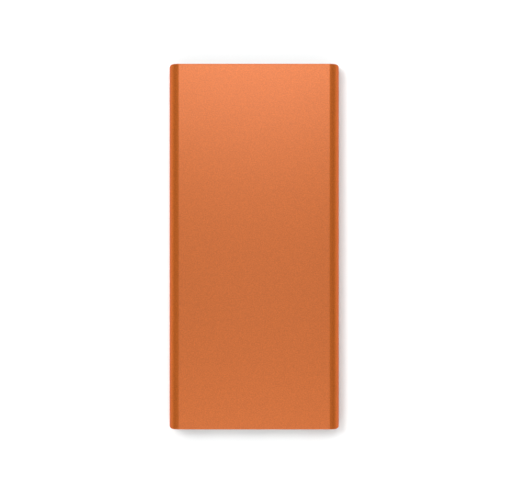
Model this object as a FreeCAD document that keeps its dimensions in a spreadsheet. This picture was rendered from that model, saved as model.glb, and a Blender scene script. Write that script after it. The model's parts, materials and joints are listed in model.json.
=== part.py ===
# Slim pocket power bank, in millimetres.
# A flat aluminium sleeve holds a moulded tray with one pouch cell and a circuit board. A bulkhead closes
# each mouth of the sleeve: two screws hold it, and a taped fascia hides them. The front end has two large
# sockets, a small one, four lamps and the button.
# Frame: X across, Y along the sleeve with the sockets at -Y, Z up from the face that it rests on.
import FreeCAD, Part

import math
import os
import re

import Sketcher
from FreeCAD import Vector

DIMENSIONS = {
    # sleeve
    "body_width": 69.8,
    "body_length": 150.0,
    "body_thickness": 10.0,
    "side_radius": 5.18,  # arc of each long side, which meets the faces at a slight crease
    "crease_radius": 0.7,
    "corner_radius": 1.5,  # seen from above
    "rim_radius": 0.3,
    "wall": 1.0,
    "slide_gap": 0.1,
    "cut_margin": 1.0,  # how far a cutting outline runs past an open side
    # screw lugs inside the sleeve
    "screw_offset": 31.6,
    "lug_inner": 30.2,
    "lug_outer": 34.25,
    "lug_height": 3.0,
    "lug_slot": 0.8,
    "pilot_radius": 0.7,
    # what closes each end, from the rim inwards
    "fascia_recess": 0.35,
    "fascia_thickness": 0.85,
    "fascia_edge": 0.15,
    "tape_thickness": 0.1,
    "tape_inset": 0.4,
    "tape_gap": 0.25,
    "bulkhead_thickness": 1.4,
    # screws of both ends
    "head_radius": 1.4,
    "head_height": 0.73,
    "head_sunk": 0.02,
    "head_gap": 0.12,
    "shank_radius": 0.68,
    "shank_length": 4.6,
    "cross_width": 0.45,
    "cross_span": 1.7,
    "cross_depth": 0.4,
    # the two large sockets
    "port_offset": 12.5,
    "port_width": 13.1,
    "port_height": 5.72,
    "port_depth": 13.6,
    "port_set_back": 0.25,
    "port_gap": 0.16,
    "port_corner": 0.6,
    "shell_wall": 0.3,
    "ear_reach": 0.8,
    "ear_thickness": 0.3,
    "ear_length": 2.0,
    "spring_offset": 2.9,
    "spring_width": 1.3,
    "spring_length": 6.0,
    "spring_slit": 0.3,
    "spring_set_back": 3.2,
    "tongue_width": 11.1,
    "tongue_height": 1.84,
    "tongue_lift": 0.94,
    "tongue_set_back": 1.0,
    "tongue_nose": 0.3,
    "block_depth": 3.2,
    "moulding_gap": 0.01,
    "contact_thickness": 0.2,
    "contact_width": 1.0,
    "contact_inner": 1.0,  # the four contacts stand this far and
    "contact_outer": 3.5,  # this far either side of the socket's centre
    "contact_set_back": 0.5,
    "contact_tail": 1.2,
    "contact_foot": 0.8,
    # the small socket
    "micro_width": 7.6,
    "micro_height": 2.6,
    "micro_depth": 5.4,
    "micro_set_back": 0.35,
    "micro_wall": 0.25,
    "micro_bevel": 0.85,
    "micro_gap": 0.2,
    "micro_block_depth": 1.4,
    "micro_tongue_width": 3.7,
    "micro_tongue_height": 0.6,
    "micro_tongue_lift": 0.25,
    "micro_tongue_set_back": 0.7,
    "micro_contact_count": 5,
    "micro_contact_pitch": 0.65,
    "micro_contact_width": 0.38,
    "micro_contact_thickness": 0.1,
    "micro_contact_tail": 0.5,
    "micro_contact_foot": 0.5,
    # button and its switch
    "button_offset": 25.0,
    "button_radius": 2.2,
    "button_gap": 0.14,
    "button_proud": 0.32,
    "button_edge": 0.2,
    "dish_radius": 1.7,
    "dish_depth": 0.12,
    "flange_radius": 2.9,
    "flange_thickness": 0.6,
    "stem_radius": 1.0,
    "running_gap": 0.05,
    "switch_width": 6.0,
    "switch_depth": 3.2,
    "switch_height": 2.6,
    "switch_corner": 0.3,
    "switch_front": 68.9,
    "switch_lip": 0.5,
    "cavity_width": 4.4,
    "cavity_height": 2.0,
    "cavity_depth": 1.3,
    "plunger_width": 2.6,
    "plunger_height": 1.3,
    "plunger_reach": 1.0,
    "plunger_gap": 0.1,
    "plunger_edge": 0.25,
    "heel_width": 3.8,
    "heel_height": 1.7,
    "dome_radius": 0.95,
    "dome_height": 0.4,
    "dome_thickness": 0.08,
    # lamps and their light guide
    "lamp_count": 4,
    "lamp_centre": -24.4,
    "lamp_pitch": 2.2,
    "lamp_radius": 0.7,
    "lamp_gap": 0.06,
    "guide_depth": 0.9,
    "guide_base": 3.8,
    "guide_top": 5.8,
    "guide_end": 0.2,
    "led_width": 1.6,
    "led_depth": 0.8,
    "led_height": 0.7,
    "led_set_back": 0.25,
    # circuit board
    "board_top": 3.7,
    "board_thickness": 1.0,
    "board_half_width": 29.0,
    "board_front": 70.6,
    "board_back": 50.4,
    "board_tongue_half": 4.6,
    "board_tongue_front": 72.0,
    "notch_gap": 0.1,
    "board_screw_x": 26.6,
    "board_screw_y": -52.9,
    "board_screw_head": 1.5,
    "board_screw_rise": 0.7,
    "board_screw_shank": 0.58,
    "board_screw_length": 1.9,
    "board_hole_radius": 0.9,
    "film_thickness": 0.12,
    "film_margin": 0.8,
    # tray
    "tray_floor": 0.6,
    "tray_half_width": 30.0,
    "tray_rail": 0.55,
    "tray_rail_top": 7.4,
    "tray_rail_end": 1.0,
    "tray_wall_y": -49.9,
    "tray_wall_top": 3.3,
    "front_post_y": -67.2,
    "post_radius": 1.7,
    "post_pilot": 0.6,
    "window_half_width": 18.0,
    "window_depth": 16.0,
    "window_corner": 3.0,
    "window_pitch": 34.0,
    "window_middle": 14.0,
    # cell
    "cell_half_width": 29.2,
    "cell_thickness": 6.8,
    "cell_front": 44.0,
    "cell_back": 71.0,
    "cell_corner": 2.2,
    "cell_edge": 1.6,
    "terrace_inset": 2.5,
    "terrace_depth": 3.4,
    "terrace_thickness": 0.3,
    "cell_tape": 0.1,
    "cell_tape_x": 23.4,
    "cell_tape_width": 8.0,
    "foam_thickness": 0.36,
    "foam_depth": 12.0,
    "foam_inset": 4.0,
    "foam_pitch": 40.0,
    "foam_middle": 14.0,
    "foam_end_half": 20.0,
    # protection board, over the cell's terrace
    "guard_half_width": 19.0,
    "guard_front": 48.4,
    "guard_depth": 3.8,
    "guard_thickness": 0.8,
    "guard_chip_depth": 2.4,
    "guard_chip_height": 0.9,
    "guard_tape_thickness": 0.06,
    "tab_width": 5.0,
    "tab_offset": 11.0,
    "tab_thickness": 0.15,
    "tab_reach": 1.35,
    "tab_fold": 2.15,
    # leads from the protection board to the circuit board
    "lead_radius": 0.65,
    "lead_lift": 0.05,
    "lead_bend": 7.0,
    "lead_start_x": 16.6,
    "lead_start_y": -45.4,
    "lead_end_x": 18.0,
    "lead_end_y": -55.2,
    "lead_straight": 1.0,
    "solder_width": 1.6,
    "solder_depth": 0.8,
    "solder_height": 1.1,
    "solder_edge": 0.35,
}

# What stands on the circuit board: node, centre of each piece, and one piece's width, depth and height.
COMPONENTS = [
    ("controller_chip", [(8.6, -54.6)], (5.0, 5.0, 0.85)),
    ("mosfets", [(-7.6, -54.2), (-13.6, -54.2)], (5.0, 4.0, 1.4)),
    ("tantalum_capacitors", [(22.6, -60.6), (-22.6, -62.4)], (4.3, 7.3, 2.8)),
    ("ceramic_capacitors", [(1.4 * i - 4.2, -65.6) for i in range(7)], (1.0, 1.8, 0.9)),
    ("output_capacitors", [(26.7, 2.2 * i - 63.6) for i in range(3)], (3.2, 1.5, 1.4)),
    ("chip_resistors", [(1.6 * i - 25.6, -67.6) for i in range(4)], (0.8, 1.5, 0.45)),
]
INDUCTOR_PLACE = (0.0, -55.0)
INDUCTOR_SIZE = (6.6, 6.6, 3.0)
INDUCTOR_CORNER = 0.7

# The protection board's chips: centre and width of each.
GUARD_CHIPS = [(-4.6, 3.0), (0.4, 3.0), (4.4, 1.6)]

# Levels along Y at the front end, and along Z, as formulas of the dimensions.
FASCIA_FACE = "fascia_recess - body_length/2"
FASCIA_BACK = FASCIA_FACE + " + fascia_thickness"
BULKHEAD_FACE = FASCIA_BACK + " + tape_thickness"
SEAT = BULKHEAD_FACE + " + bulkhead_thickness"
PORT_MOUTH = FASCIA_FACE + " + port_set_back"
PORT_BACK = PORT_MOUTH + " + port_depth"
MICRO_MOUTH = FASCIA_FACE + " + micro_set_back"
MICRO_BACK = MICRO_MOUTH + " + micro_depth"
PLUNGER_TIP = "-switch_front - plunger_reach"
MID = "body_thickness/2"
TRAY_BASE = "wall + slide_gap"
FLOOR = TRAY_BASE + " + tray_floor"
CELL_BASE = FLOOR + " + cell_tape"
CELL_TOP = CELL_BASE + " + cell_thickness"
BOARD_BASE = "board_top - board_thickness"

# How much the leg of a 45 degree bevel grows for each unit that its outline grows.
BEVEL_GROWTH = "(2 - sqrt(2))"

QUARTER_TURNS = ((1, 0), (0, 1), (-1, 0), (0, -1))
UP = Vector(0, 0, 1)
NEAR = 1e-4

doc = FreeCAD.newDocument("PowerBank")
sheet = doc.addObject("Spreadsheet::Sheet", "Dims")
calculator = doc.addObject("App::FeaturePython", "Calculator")
calculator.addProperty("App::PropertyFloat", "Result")
ALIASES = re.compile(r"\b(" + "|".join(DIMENSIONS) + r")\b")


# ---------------------------------------------------------------- formulas
def fill_sheet():
    """One row for each driving dimension: its name, and its value in the cell that bears its alias."""
    for row, (name, value) in enumerate(DIMENSIONS.items(), start=1):
        sheet.set(f"A{row}", name)
        sheet.set(f"B{row}", str(value))
        sheet.setAlias(f"B{row}", name)
    doc.recompute()


def formula(text):
    """The expression that FreeCAD reads, where each dimension's name refers to the sheet."""
    return ALIASES.sub(r"Dims.\1", str(text))


def number(text):
    """What a formula comes to."""
    calculator.setExpression("Result", formula(text))
    calculator.recompute()
    return calculator.Result


def minus(text):
    return f"-({text})"


def around(centre, width):
    """The low and high end of a width about a centre."""
    return f"({centre}) - ({width})/2", f"({centre}) + ({width})/2"


def between(half):
    """The low and high end of a width about zero, from its half."""
    return minus(half), half


# ---------------------------------------------------------------- primitives and booleans
def place(thing, x, y, z):
    for axis, text in (("x", x), ("y", y), ("z", z)):
        thing.setExpression(f"Placement.Base.{axis}", formula(text))


def block(name, x, y, z):
    """A box from its low and high end along each axis."""
    box = doc.addObject("Part::Box", name)
    for side, (low, high) in (("Length", x), ("Width", y), ("Height", z)):
        box.setExpression(side, formula(f"({high}) - ({low})"))
    place(box, x[0], y[0], z[0])
    return box


def rod(name, radius, length, x, y, z, axis=(0, 1, 0)):
    """A cylinder that starts at a point and runs along an axis."""
    cylinder = doc.addObject("Part::Cylinder", name)
    cylinder.Placement.Rotation = FreeCAD.Rotation(UP, Vector(*axis))
    cylinder.setExpression("Radius", formula(radius))
    cylinder.setExpression("Height", formula(length))
    place(cylinder, x, y, z)
    return cylinder


def ball(name, radius, x, y, z):
    sphere = doc.addObject("Part::Sphere", name)
    sphere.setExpression("Radius", formula(radius))
    place(sphere, x, y, z)
    return sphere


def fuse(name, *shapes):
    joined = doc.addObject("Part::MultiFuse", name)
    joined.Shapes = list(shapes)
    return joined


def cut(name, base, *tools):
    """base less every tool."""
    result = doc.addObject("Part::Cut", name)
    result.Base = base
    result.Tool = tools[0] if len(tools) == 1 else fuse(name + "_tools", *tools)
    return result


def group(name, *pieces):
    """Several like pieces as one sub-part."""
    compound = doc.addObject("Part::Compound", name)
    compound.Links = list(pieces)
    return compound


def turn_to_back(thing):
    """Half a turn about Z takes a piece of the front end to the blind end."""
    thing.Placement = FreeCAD.Placement(Vector(), FreeCAD.Rotation(UP, 180))


def edges_where(shape, test):
    return [i for i, edge in enumerate(shape.Edges, start=1) if test(edge)]


def at_level(level, axis="Y"):
    """A test for the edges that lie in one plane across an axis."""
    value = number(level)

    def test(edge):
        box = edge.BoundBox
        ends = (getattr(box, axis + "Min"), getattr(box, axis + "Max"))
        return all(abs(end - value) < NEAR for end in ends)

    return test


def upright(edge):
    """Whether an edge runs straight along Z."""
    box = edge.BoundBox
    return box.XLength < NEAR and box.YLength < NEAR


def lengthwise(edge):
    """Whether an edge runs straight along Y."""
    box = edge.BoundBox
    return box.XLength < NEAR and box.ZLength < NEAR


def rounded(name, base, radius, test):
    """base with the edges that pass the test rounded."""
    doc.recompute()
    fillet = doc.addObject("Part::Fillet", name)
    fillet.Base = base
    size = number(radius)
    fillet.Edges = [(i, size, size) for i in edges_where(base.Shape, test)]
    return fillet


# ---------------------------------------------------------------- sketches and bodies
class Outline:
    """A sketch on one of a body's origin planes, with its sizes bound to the sheet.

    On the XZ plane a sketch looks towards the front, so its features grow to -Y and cut to +Y.
    """

    def __init__(self, body, name, plane="XZ_Plane", level="0"):
        self.sketch = body.newObject("Sketcher::SketchObject", name)
        support = next(f for f in body.Origin.OriginFeatures if f.Role == plane)
        self.sketch.AttachmentSupport = (support, [""])
        self.sketch.MapMode = "FlatFace"
        offset = minus(level) if plane == "XZ_Plane" else level
        self.sketch.setExpression("AttachmentOffset.Base.z", formula(offset))

    def hold(self, kind, *ends):
        self.sketch.addConstraint(Sketcher.Constraint(kind, *ends))

    def size(self, kind, *ends_and_text):
        """A constraint whose value is a formula."""
        *ends, text = ends_and_text
        index = self.sketch.addConstraint(Sketcher.Constraint(kind, *ends, number(text)))
        self.sketch.renameConstraint(index, f"size_{index}")
        self.sketch.setExpression(f"Constraints.size_{index}", formula(text))

    def pin(self, geometry, point, x, y):
        """Holds a point of the geometry at a place in the sketch."""
        self.size("DistanceX", -1, 1, geometry, point, x)
        self.size("DistanceY", -1, 1, geometry, point, y)

    def add(self, pieces, closed=True, joint="Coincident"):
        """Adds lines and arcs, each one's end joined to the next one's start; returns their indices."""
        indices = [self.sketch.addGeometry(piece) for piece in pieces]
        following = indices[1:] + indices[:1] if closed else indices[1:]
        for piece, after in zip(indices, following):
            self.hold(joint, piece, 2, after, 1)
        return indices

    def circle(self, x, y, radius):
        index = self.sketch.addGeometry(Part.Circle(Vector(number(x), number(y)), UP, number(radius)))
        self.pin(index, 3, x, y)
        self.size("Radius", index, radius)

    def polygon(self, corners):
        """A closed line through corners, each one given as two formulas."""
        points = [Vector(number(x), number(y)) for x, y in corners]
        lines = [Part.LineSegment(*ends) for ends in zip(points, points[1:] + points[:1])]
        for index, corner in zip(self.add(lines), corners):
            self.pin(index, 1, *corner)

    def rectangle(self, x, y):
        """A rectangle from its low and high end in each direction."""
        self.polygon([(x[0], y[0]), (x[1], y[0]), (x[1], y[1]), (x[0], y[1])])

    def rounded_rectangle(self, x, y, radius):
        """A rectangle from its low and high end in each direction, with an arc at each corner."""
        left, right, low, high, r = (number(text) for text in (*x, *y, radius))
        arcs = []
        corners = ((left, low), (right, low), (right, high), (left, high))
        for i, (corner_x, corner_y) in enumerate(corners):
            towards_x = r if corner_x == left else -r
            towards_y = r if corner_y == low else -r
            circle = Part.Circle(Vector(corner_x + towards_x, corner_y + towards_y), UP, r)
            arcs.append(Part.ArcOfCircle(circle, (i + 2) * math.pi / 2, (i + 3) * math.pi / 2))
        pieces = []
        for arc, after in zip(arcs, arcs[1:] + arcs[:1]):
            pieces += [arc, Part.LineSegment(arc.EndPoint, after.StartPoint)]
        indices = self.add(pieces, joint="Tangent")
        self.size("Radius", indices[0], radius)
        for arc in indices[2::2]:
            self.hold("Equal", indices[0], arc)
        bottom, end, top, start = indices[1::2]
        for line, kind, distance, text in (
            (bottom, "Horizontal", "DistanceY", y[0]),
            (end, "Vertical", "DistanceX", x[1]),
            (top, "Horizontal", "DistanceY", y[1]),
            (start, "Vertical", "DistanceX", x[0]),
        ):
            self.hold(kind, line)
            self.size(distance, -1, 1, line, 1, text)

    def sleeve_section(self, inset):
        """The sleeve's cross-section, drawn in by an inset: two flats joined by an arc at each side."""
        rise, radius = f"{MID} - ({inset})", f"side_radius - ({inset})"
        reach = "body_width/2 - side_radius"
        swing = math.asin(number(rise) / number(radius))
        arcs = []
        for x, start in ((reach, -swing), (minus(reach), math.pi - swing)):
            circle = Part.Circle(Vector(number(x), number(MID)), UP, number(radius))
            arcs.append(Part.ArcOfCircle(circle, start, start + 2 * swing))
        right, left = arcs
        bottom_line = Part.LineSegment(left.EndPoint, right.StartPoint)
        top_line = Part.LineSegment(right.EndPoint, left.StartPoint)
        bottom, right, top, left = self.add([bottom_line, right, top_line, left])
        self.hold("Horizontal", bottom)
        self.hold("Horizontal", top)
        self.hold("Equal", right, left)
        self.size("Radius", right, radius)
        self.pin(right, 3, reach, MID)
        self.pin(left, 3, minus(reach), MID)
        self.size("DistanceY", -1, 1, bottom, 1, inset)
        self.size("DistanceY", -1, 1, top, 1, f"body_thickness - ({inset})")

    def corner_trims(self, middle, half, radius):
        """What lies outside each rounded corner of a rectangle, out to a radius past both its sides."""
        for quadrant, first in enumerate(QUARTER_TURNS):
            second = QUARTER_TURNS[(quadrant + 1) % 4]
            both = [a + b for a, b in zip(first, second)]
            centre = [f"({m}) + ({b})*(({h}) - ({radius}))" for m, b, h in zip(middle, both, half)]
            far = [
                tuple(f"{c} + ({2 * way})*({radius})" for c, way in zip(centre, ways))
                for ways in (second, both, first)
            ]
            start = quadrant * math.pi / 2
            circle = Part.Circle(Vector(*(number(c) for c in centre)), UP, number(radius))
            arc = Part.ArcOfCircle(circle, start, start + math.pi / 2)
            points = [arc.EndPoint] + [Vector(number(x), number(y)) for x, y in far] + [arc.StartPoint]
            lines = [Part.LineSegment(*ends) for ends in zip(points, points[1:])]
            indices = self.add([arc] + lines)
            self.pin(indices[0], 3, *centre)
            self.size("Radius", indices[0], radius)
            for line, corner in zip(indices[2:], far):
                self.pin(line, 1, *corner)
            self.hold("Vertical" if second[1] else "Horizontal", indices[1])
            self.hold("Vertical" if first[1] else "Horizontal", indices[4])


def new_body(name):
    return doc.addObject("PartDesign::Body", name)


def pad(body, outline, length, both_ways=False):
    feature = body.newObject("PartDesign::Pad", "Pad")
    feature.Profile = outline.sketch
    feature.setExpression("Length", formula(length))
    if both_ways:
        feature.SideType = "Symmetric"
    doc.recompute()


def pocket(body, outline, depth=None):
    """Cuts an outline to a depth, or right through both ways, and makes sure that something went."""
    before = body.Shape.Volume
    feature = body.newObject("PartDesign::Pocket", "Pocket")
    feature.Profile = outline.sketch
    if depth is None:
        feature.SideType = "Symmetric"
        feature.Type = "ThroughAll"
    else:
        feature.setExpression("Length", formula(depth))
    doc.recompute()
    if body.Shape.Volume > before - NEAR:
        raise ValueError(f"{body.Label}: {outline.sketch.Name} cuts nothing")


def dress(body, radius, test):
    """Rounds the edges of a body that pass a test."""
    tip = body.Tip
    names = [f"Edge{i}" for i in edges_where(tip.Shape, test)]
    feature = body.newObject("PartDesign::Fillet", "Fillet")
    feature.Base = (tip, names)
    feature.setExpression("Radius", formula(radius))
    doc.recompute()


# ---------------------------------------------------------------- enclosure
def make_sleeve():
    """The extruded tube, with a C-shaped lug along each side for the end screws' threads."""
    body = new_body("sleeve")
    outside = Outline(body, "outside")
    outside.sleeve_section("0")
    pad(body, outside, "body_length", both_ways=True)
    on_face = (at_level("0", "Z"), at_level("body_thickness", "Z"))
    dress(body, "crease_radius", lambda edge: lengthwise(edge) and any(t(edge) for t in on_face))

    bore = Outline(body, "bore")
    bore.sleeve_section("wall")
    pocket(body, bore)

    lugs = Outline(body, "lugs")
    channels = Outline(body, "channels")
    slots = Outline(body, "slots")
    for side in (1, -1):
        lug = sorted((f"{side}*lug_inner", f"{side}*lug_outer"), key=number)
        slot = sorted((f"{side}*(lug_inner - cut_margin)", f"{side}*screw_offset"), key=number)
        lugs.rectangle(lug, around(MID, "lug_height"))
        channels.circle(f"{side}*screw_offset", MID, "pilot_radius")
        slots.rectangle(slot, around(MID, "lug_slot"))
    pad(body, lugs, f"-2*({SEAT})", both_ways=True)
    pocket(body, channels)
    pocket(body, slots)

    corners = Outline(body, "corners", plane="XY_Plane")
    corners.corner_trims(("0", "0"), ("body_width/2", "body_length/2"), "corner_radius")
    pocket(body, corners)
    rims = Outline(body, "rims", plane="YZ_Plane")
    rims.corner_trims(("0", MID), ("body_length/2", MID), "rim_radius")
    pocket(body, rims)
    return body


def draw_port_openings(outline, gap):
    """The holes that both large sockets pass through."""
    for side in (1, -1):
        x = around(f"{side}*port_offset", f"port_width + 2*({gap})")
        z = around(MID, f"port_height + 2*({gap})")
        outline.rounded_rectangle(x, z, f"port_corner + ({gap})")


def micro_corners(gap):
    """Corners of the small socket's outline grown by a gap: a box with both lower corners bevelled."""
    half = f"micro_width/2 + ({gap})"
    base, top = f"board_top - ({gap})", f"board_top + micro_height + ({gap})"
    bevel = f"(micro_bevel + {BEVEL_GROWTH}*({gap}))"
    right = [(half, f"{base} + {bevel}"), (half, top)]
    left = [(minus(half), top), (minus(half), f"{base} + {bevel}")]
    return right + left + [(f"-({half}) + {bevel}", base), (f"{half} - {bevel}", base)]


def lamp_places():
    """X of each lamp, from the outermost inwards."""
    steps = range(DIMENSIONS["lamp_count"])
    return [f"lamp_centre + ({i} - (lamp_count - 1)/2)*lamp_pitch" for i in steps]


def draw_end_openings(outline, extra="0"):
    """Every hole of the socket end: for the sockets, the lamps and the button."""
    draw_port_openings(outline, f"port_gap + {extra}")
    outline.polygon(micro_corners(f"micro_gap + {extra}"))
    for x in lamp_places():
        outline.circle(x, MID, f"lamp_radius + lamp_gap + {extra}")
    outline.circle("button_offset", MID, f"button_radius + button_gap + {extra}")


def make_bulkhead(name, with_sockets):
    """The moulded stopper that seats on the lugs, with a counterbored hole for each screw."""
    body = new_body(name)
    section = Outline(body, "section", level=SEAT)
    section.sleeve_section("wall + slide_gap")
    pad(body, section, "bulkhead_thickness")
    sinks = Outline(body, "sinks", level=BULKHEAD_FACE)
    holes = Outline(body, "holes", level=BULKHEAD_FACE)
    for side in (1, -1):
        sinks.circle(f"{side}*screw_offset", MID, "head_radius + head_gap")
        holes.circle(f"{side}*screw_offset", MID, "shank_radius + head_gap")
    pocket(body, sinks, "head_sunk + head_height")
    pocket(body, holes, "bulkhead_thickness")
    if with_sockets:
        openings = Outline(body, "openings", level=BULKHEAD_FACE)
        draw_end_openings(openings)
        pocket(body, openings, "bulkhead_thickness")
    else:
        turn_to_back(body)
    return body


def make_fascia(name, with_sockets):
    """The cover plate that hides the screws, with every edge of its outer face rounded."""
    body = new_body(name)
    section = Outline(body, "section", level=FASCIA_BACK)
    section.sleeve_section("wall + slide_gap")
    pad(body, section, "fascia_thickness")
    if with_sockets:
        openings = Outline(body, "openings", level=FASCIA_FACE)
        draw_end_openings(openings)
        pocket(body, openings, "fascia_thickness")
    dress(body, "fascia_edge", at_level(FASCIA_FACE))
    if not with_sockets:
        turn_to_back(body)
    return body


def make_fascia_tape(name, with_sockets):
    """The die-cut tape that holds a fascia on its bulkhead."""
    body = new_body(name)
    section = Outline(body, "section", level=BULKHEAD_FACE)
    section.sleeve_section("wall + slide_gap + tape_inset")
    pad(body, section, "tape_thickness")
    openings = Outline(body, "openings", level=FASCIA_BACK)
    for side in (1, -1):
        openings.circle(f"{side}*screw_offset", MID, "head_radius + head_gap")
    if with_sockets:
        draw_end_openings(openings, "tape_gap")
    pocket(body, openings, "tape_thickness")
    if not with_sockets:
        turn_to_back(body)
    return body


def cross_recess(name, x, y, z, along_y):
    """Two bars that cut a cross in the middle of a screw's head, from a little above it."""
    deep = ("-cross_depth", "cross_depth")
    wide, narrow = "cross_span", "cross_width"
    bars = []
    for i, (a, b) in enumerate(((wide, narrow), (narrow, wide))):
        if along_y:
            spans = (around(x, a), [f"{y} + ({d})" for d in deep], around(z, b))
        else:
            spans = (around(x, a), around(y, b), [f"{z} + ({d})" for d in deep])
        bars.append(block(f"{name}_bar_{i}", *spans))
    return bars


def make_end_screws(name, at_back=False):
    """Two self-tapping screws, each with a cross recess."""
    top = f"{BULKHEAD_FACE} + head_sunk"
    shoulder = f"{top} + head_height"
    screws = []
    for side in (1, -1):
        label, x = f"{name}_{side + 1}", f"{side}*screw_offset"
        head = rod(label + "_head", "head_radius", "head_height", x, top, MID)
        shank = rod(label + "_shank", "shank_radius", "shank_length", x, shoulder, MID)
        solid = fuse(label + "_solid", head, shank)
        softened = rounded(label + "_soft", solid, "head_height/4", at_level(top))
        screws.append(cut(label, softened, *cross_recess(label, x, top, MID, along_y=True)))
    screw_pair = group(name, *screws)
    if at_back:
        turn_to_back(screw_pair)
    return screw_pair


# ---------------------------------------------------------------- tray
def make_tray():
    """The moulded carrier on the sleeve's floor: a base with windows, two rails, a wall and posts."""
    body = new_body("tray")
    end = f"-({SEAT}) - slide_gap"

    def raise_from(level, top, draw):
        outline = Outline(body, draw.__name__, plane="XY_Plane", level=level)
        draw(outline)
        pad(body, outline, f"({top}) - ({level})")

    def base(outline):
        outline.rectangle(between("tray_half_width"), between(end))

    def rails(outline):
        length = between(f"{end} - tray_rail_end")
        outline.rectangle(("tray_half_width - tray_rail", "tray_half_width"), length)
        outline.rectangle(("-tray_half_width", "tray_rail - tray_half_width"), length)

    def cross_wall(outline):
        outline.rectangle(between("tray_half_width"), around("tray_wall_y", "tray_rail"))

    def posts(outline):
        for side in (1, -1):
            for y in ("board_screw_y", "front_post_y"):
                outline.circle(f"{side}*board_screw_x", y, "post_radius")

    raise_from(TRAY_BASE, FLOOR, base)
    raise_from(FLOOR, "tray_rail_top", rails)
    raise_from(FLOOR, "tray_wall_top", cross_wall)
    raise_from(FLOOR, BOARD_BASE, posts)

    pilots = Outline(body, "pilots", plane="XY_Plane", level=BOARD_BASE)
    for side in (1, -1):
        pilots.circle(f"{side}*board_screw_x", "board_screw_y", "post_pilot")
    pocket(body, pilots, f"{BOARD_BASE} - ({FLOOR})")
    windows = Outline(body, "windows", plane="XY_Plane", level=FLOOR)
    for step in (-1, 0, 1):
        y = around(f"window_middle + ({step})*window_pitch", "window_depth")
        windows.rounded_rectangle(between("window_half_width"), y, "window_corner")
    pocket(body, windows, "tray_floor")
    return body


# ---------------------------------------------------------------- circuit board and what stands on it
def make_board():
    """The board, cut back for both large sockets, with a short tongue under the small one."""
    body = new_body("main_board")
    outline = Outline(body, "outline", plane="XY_Plane", level=BOARD_BASE)
    front, back = "-board_front", "-board_back"
    half, tongue, tip = "board_half_width", "board_tongue_half", "-board_tongue_front"
    left = [(minus(half), back), (minus(half), front), (minus(tongue), front), (minus(tongue), tip)]
    right = [(tongue, tip), (tongue, front), (half, front), (half, back)]
    outline.polygon(left + right)
    pad(body, outline, "board_thickness")
    cuts = Outline(body, "cuts", plane="XY_Plane", level="board_top")
    for side in (1, -1):
        across = around(f"{side}*port_offset", "port_width + 2*notch_gap")
        cuts.rectangle(across, ("-board_front - cut_margin", f"{PORT_BACK} + notch_gap"))
        cuts.circle(f"{side}*board_screw_x", "board_screw_y", "board_hole_radius")
    pocket(body, cuts, "board_thickness")
    return body


def make_board_screws():
    """Two short screws from the board into the tray's posts."""
    top = "board_top + board_screw_rise"
    y, up = "board_screw_y", (0, 0, 1)
    screws = []
    for side in (1, -1):
        label, x = f"board_screw_{side + 1}", f"{side}*board_screw_x"
        head = rod(label + "_head", "board_screw_head", "board_screw_rise", x, y, "board_top", up)
        tip = "board_top - board_screw_length"
        shank = rod(label + "_shank", "board_screw_shank", "board_screw_length", x, y, tip, up)
        solid = fuse(label + "_solid", head, shank)
        softened = rounded(label + "_soft", solid, "head_height/4", at_level(top, "Z"))
        screws.append(cut(label, softened, *cross_recess(label, x, y, top, along_y=False)))
    return group("board_screws", *screws)


def make_port_shell(name, x):
    """A large socket's folded shell, with two spring cuts in its roof and floor, and two ears."""
    shell = new_body(name)
    outside = Outline(shell, "outside", level=PORT_BACK)
    outside.rounded_rectangle(around(x, "port_width"), around(MID, "port_height"), "port_corner")
    pad(shell, outside, "port_depth")
    inside = Outline(shell, "inside", level=PORT_MOUTH)
    width, height = around(x, "port_width - 2*shell_wall"), around(MID, "port_height - 2*shell_wall")
    inside.rounded_rectangle(width, height, "port_corner - shell_wall")
    pocket(shell, inside, "port_depth")

    springs = Outline(shell, "springs", plane="XY_Plane", level="body_thickness")
    front = f"{PORT_MOUTH} + spring_set_back"
    back = f"{front} + spring_length"
    inner, outer = "spring_width/2", "(spring_width/2 + spring_slit)"
    for side in (1, -1):
        middle = f"({x}) + ({side})*spring_offset"
        low = [(f"{middle} - {outer}", back), (f"{middle} - {outer}", front)]
        high = [(f"{middle} + {outer}", front), (f"{middle} + {outer}", back)]
        cut_end = f"{front} + spring_slit"
        back_again = [(f"{middle} + {inner}", back), (f"{middle} + {inner}", cut_end)]
        home = [(f"{middle} - {inner}", cut_end), (f"{middle} - {inner}", back)]
        springs.polygon(low + high + back_again + home)
    pocket(shell, springs, "body_thickness")

    ears = Outline(shell, "ears", plane="XY_Plane", level="board_top")
    for side in (1, -1):
        wall_x = f"({x}) + ({side})*(port_width - shell_wall)/2"
        ear = sorted((wall_x, f"{wall_x} + ({side})*(shell_wall/2 + ear_reach)"), key=number)
        ears.rectangle(ear, (f"{back} - ear_length", back))
    pad(shell, ears, "ear_thickness")
    return shell


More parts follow.
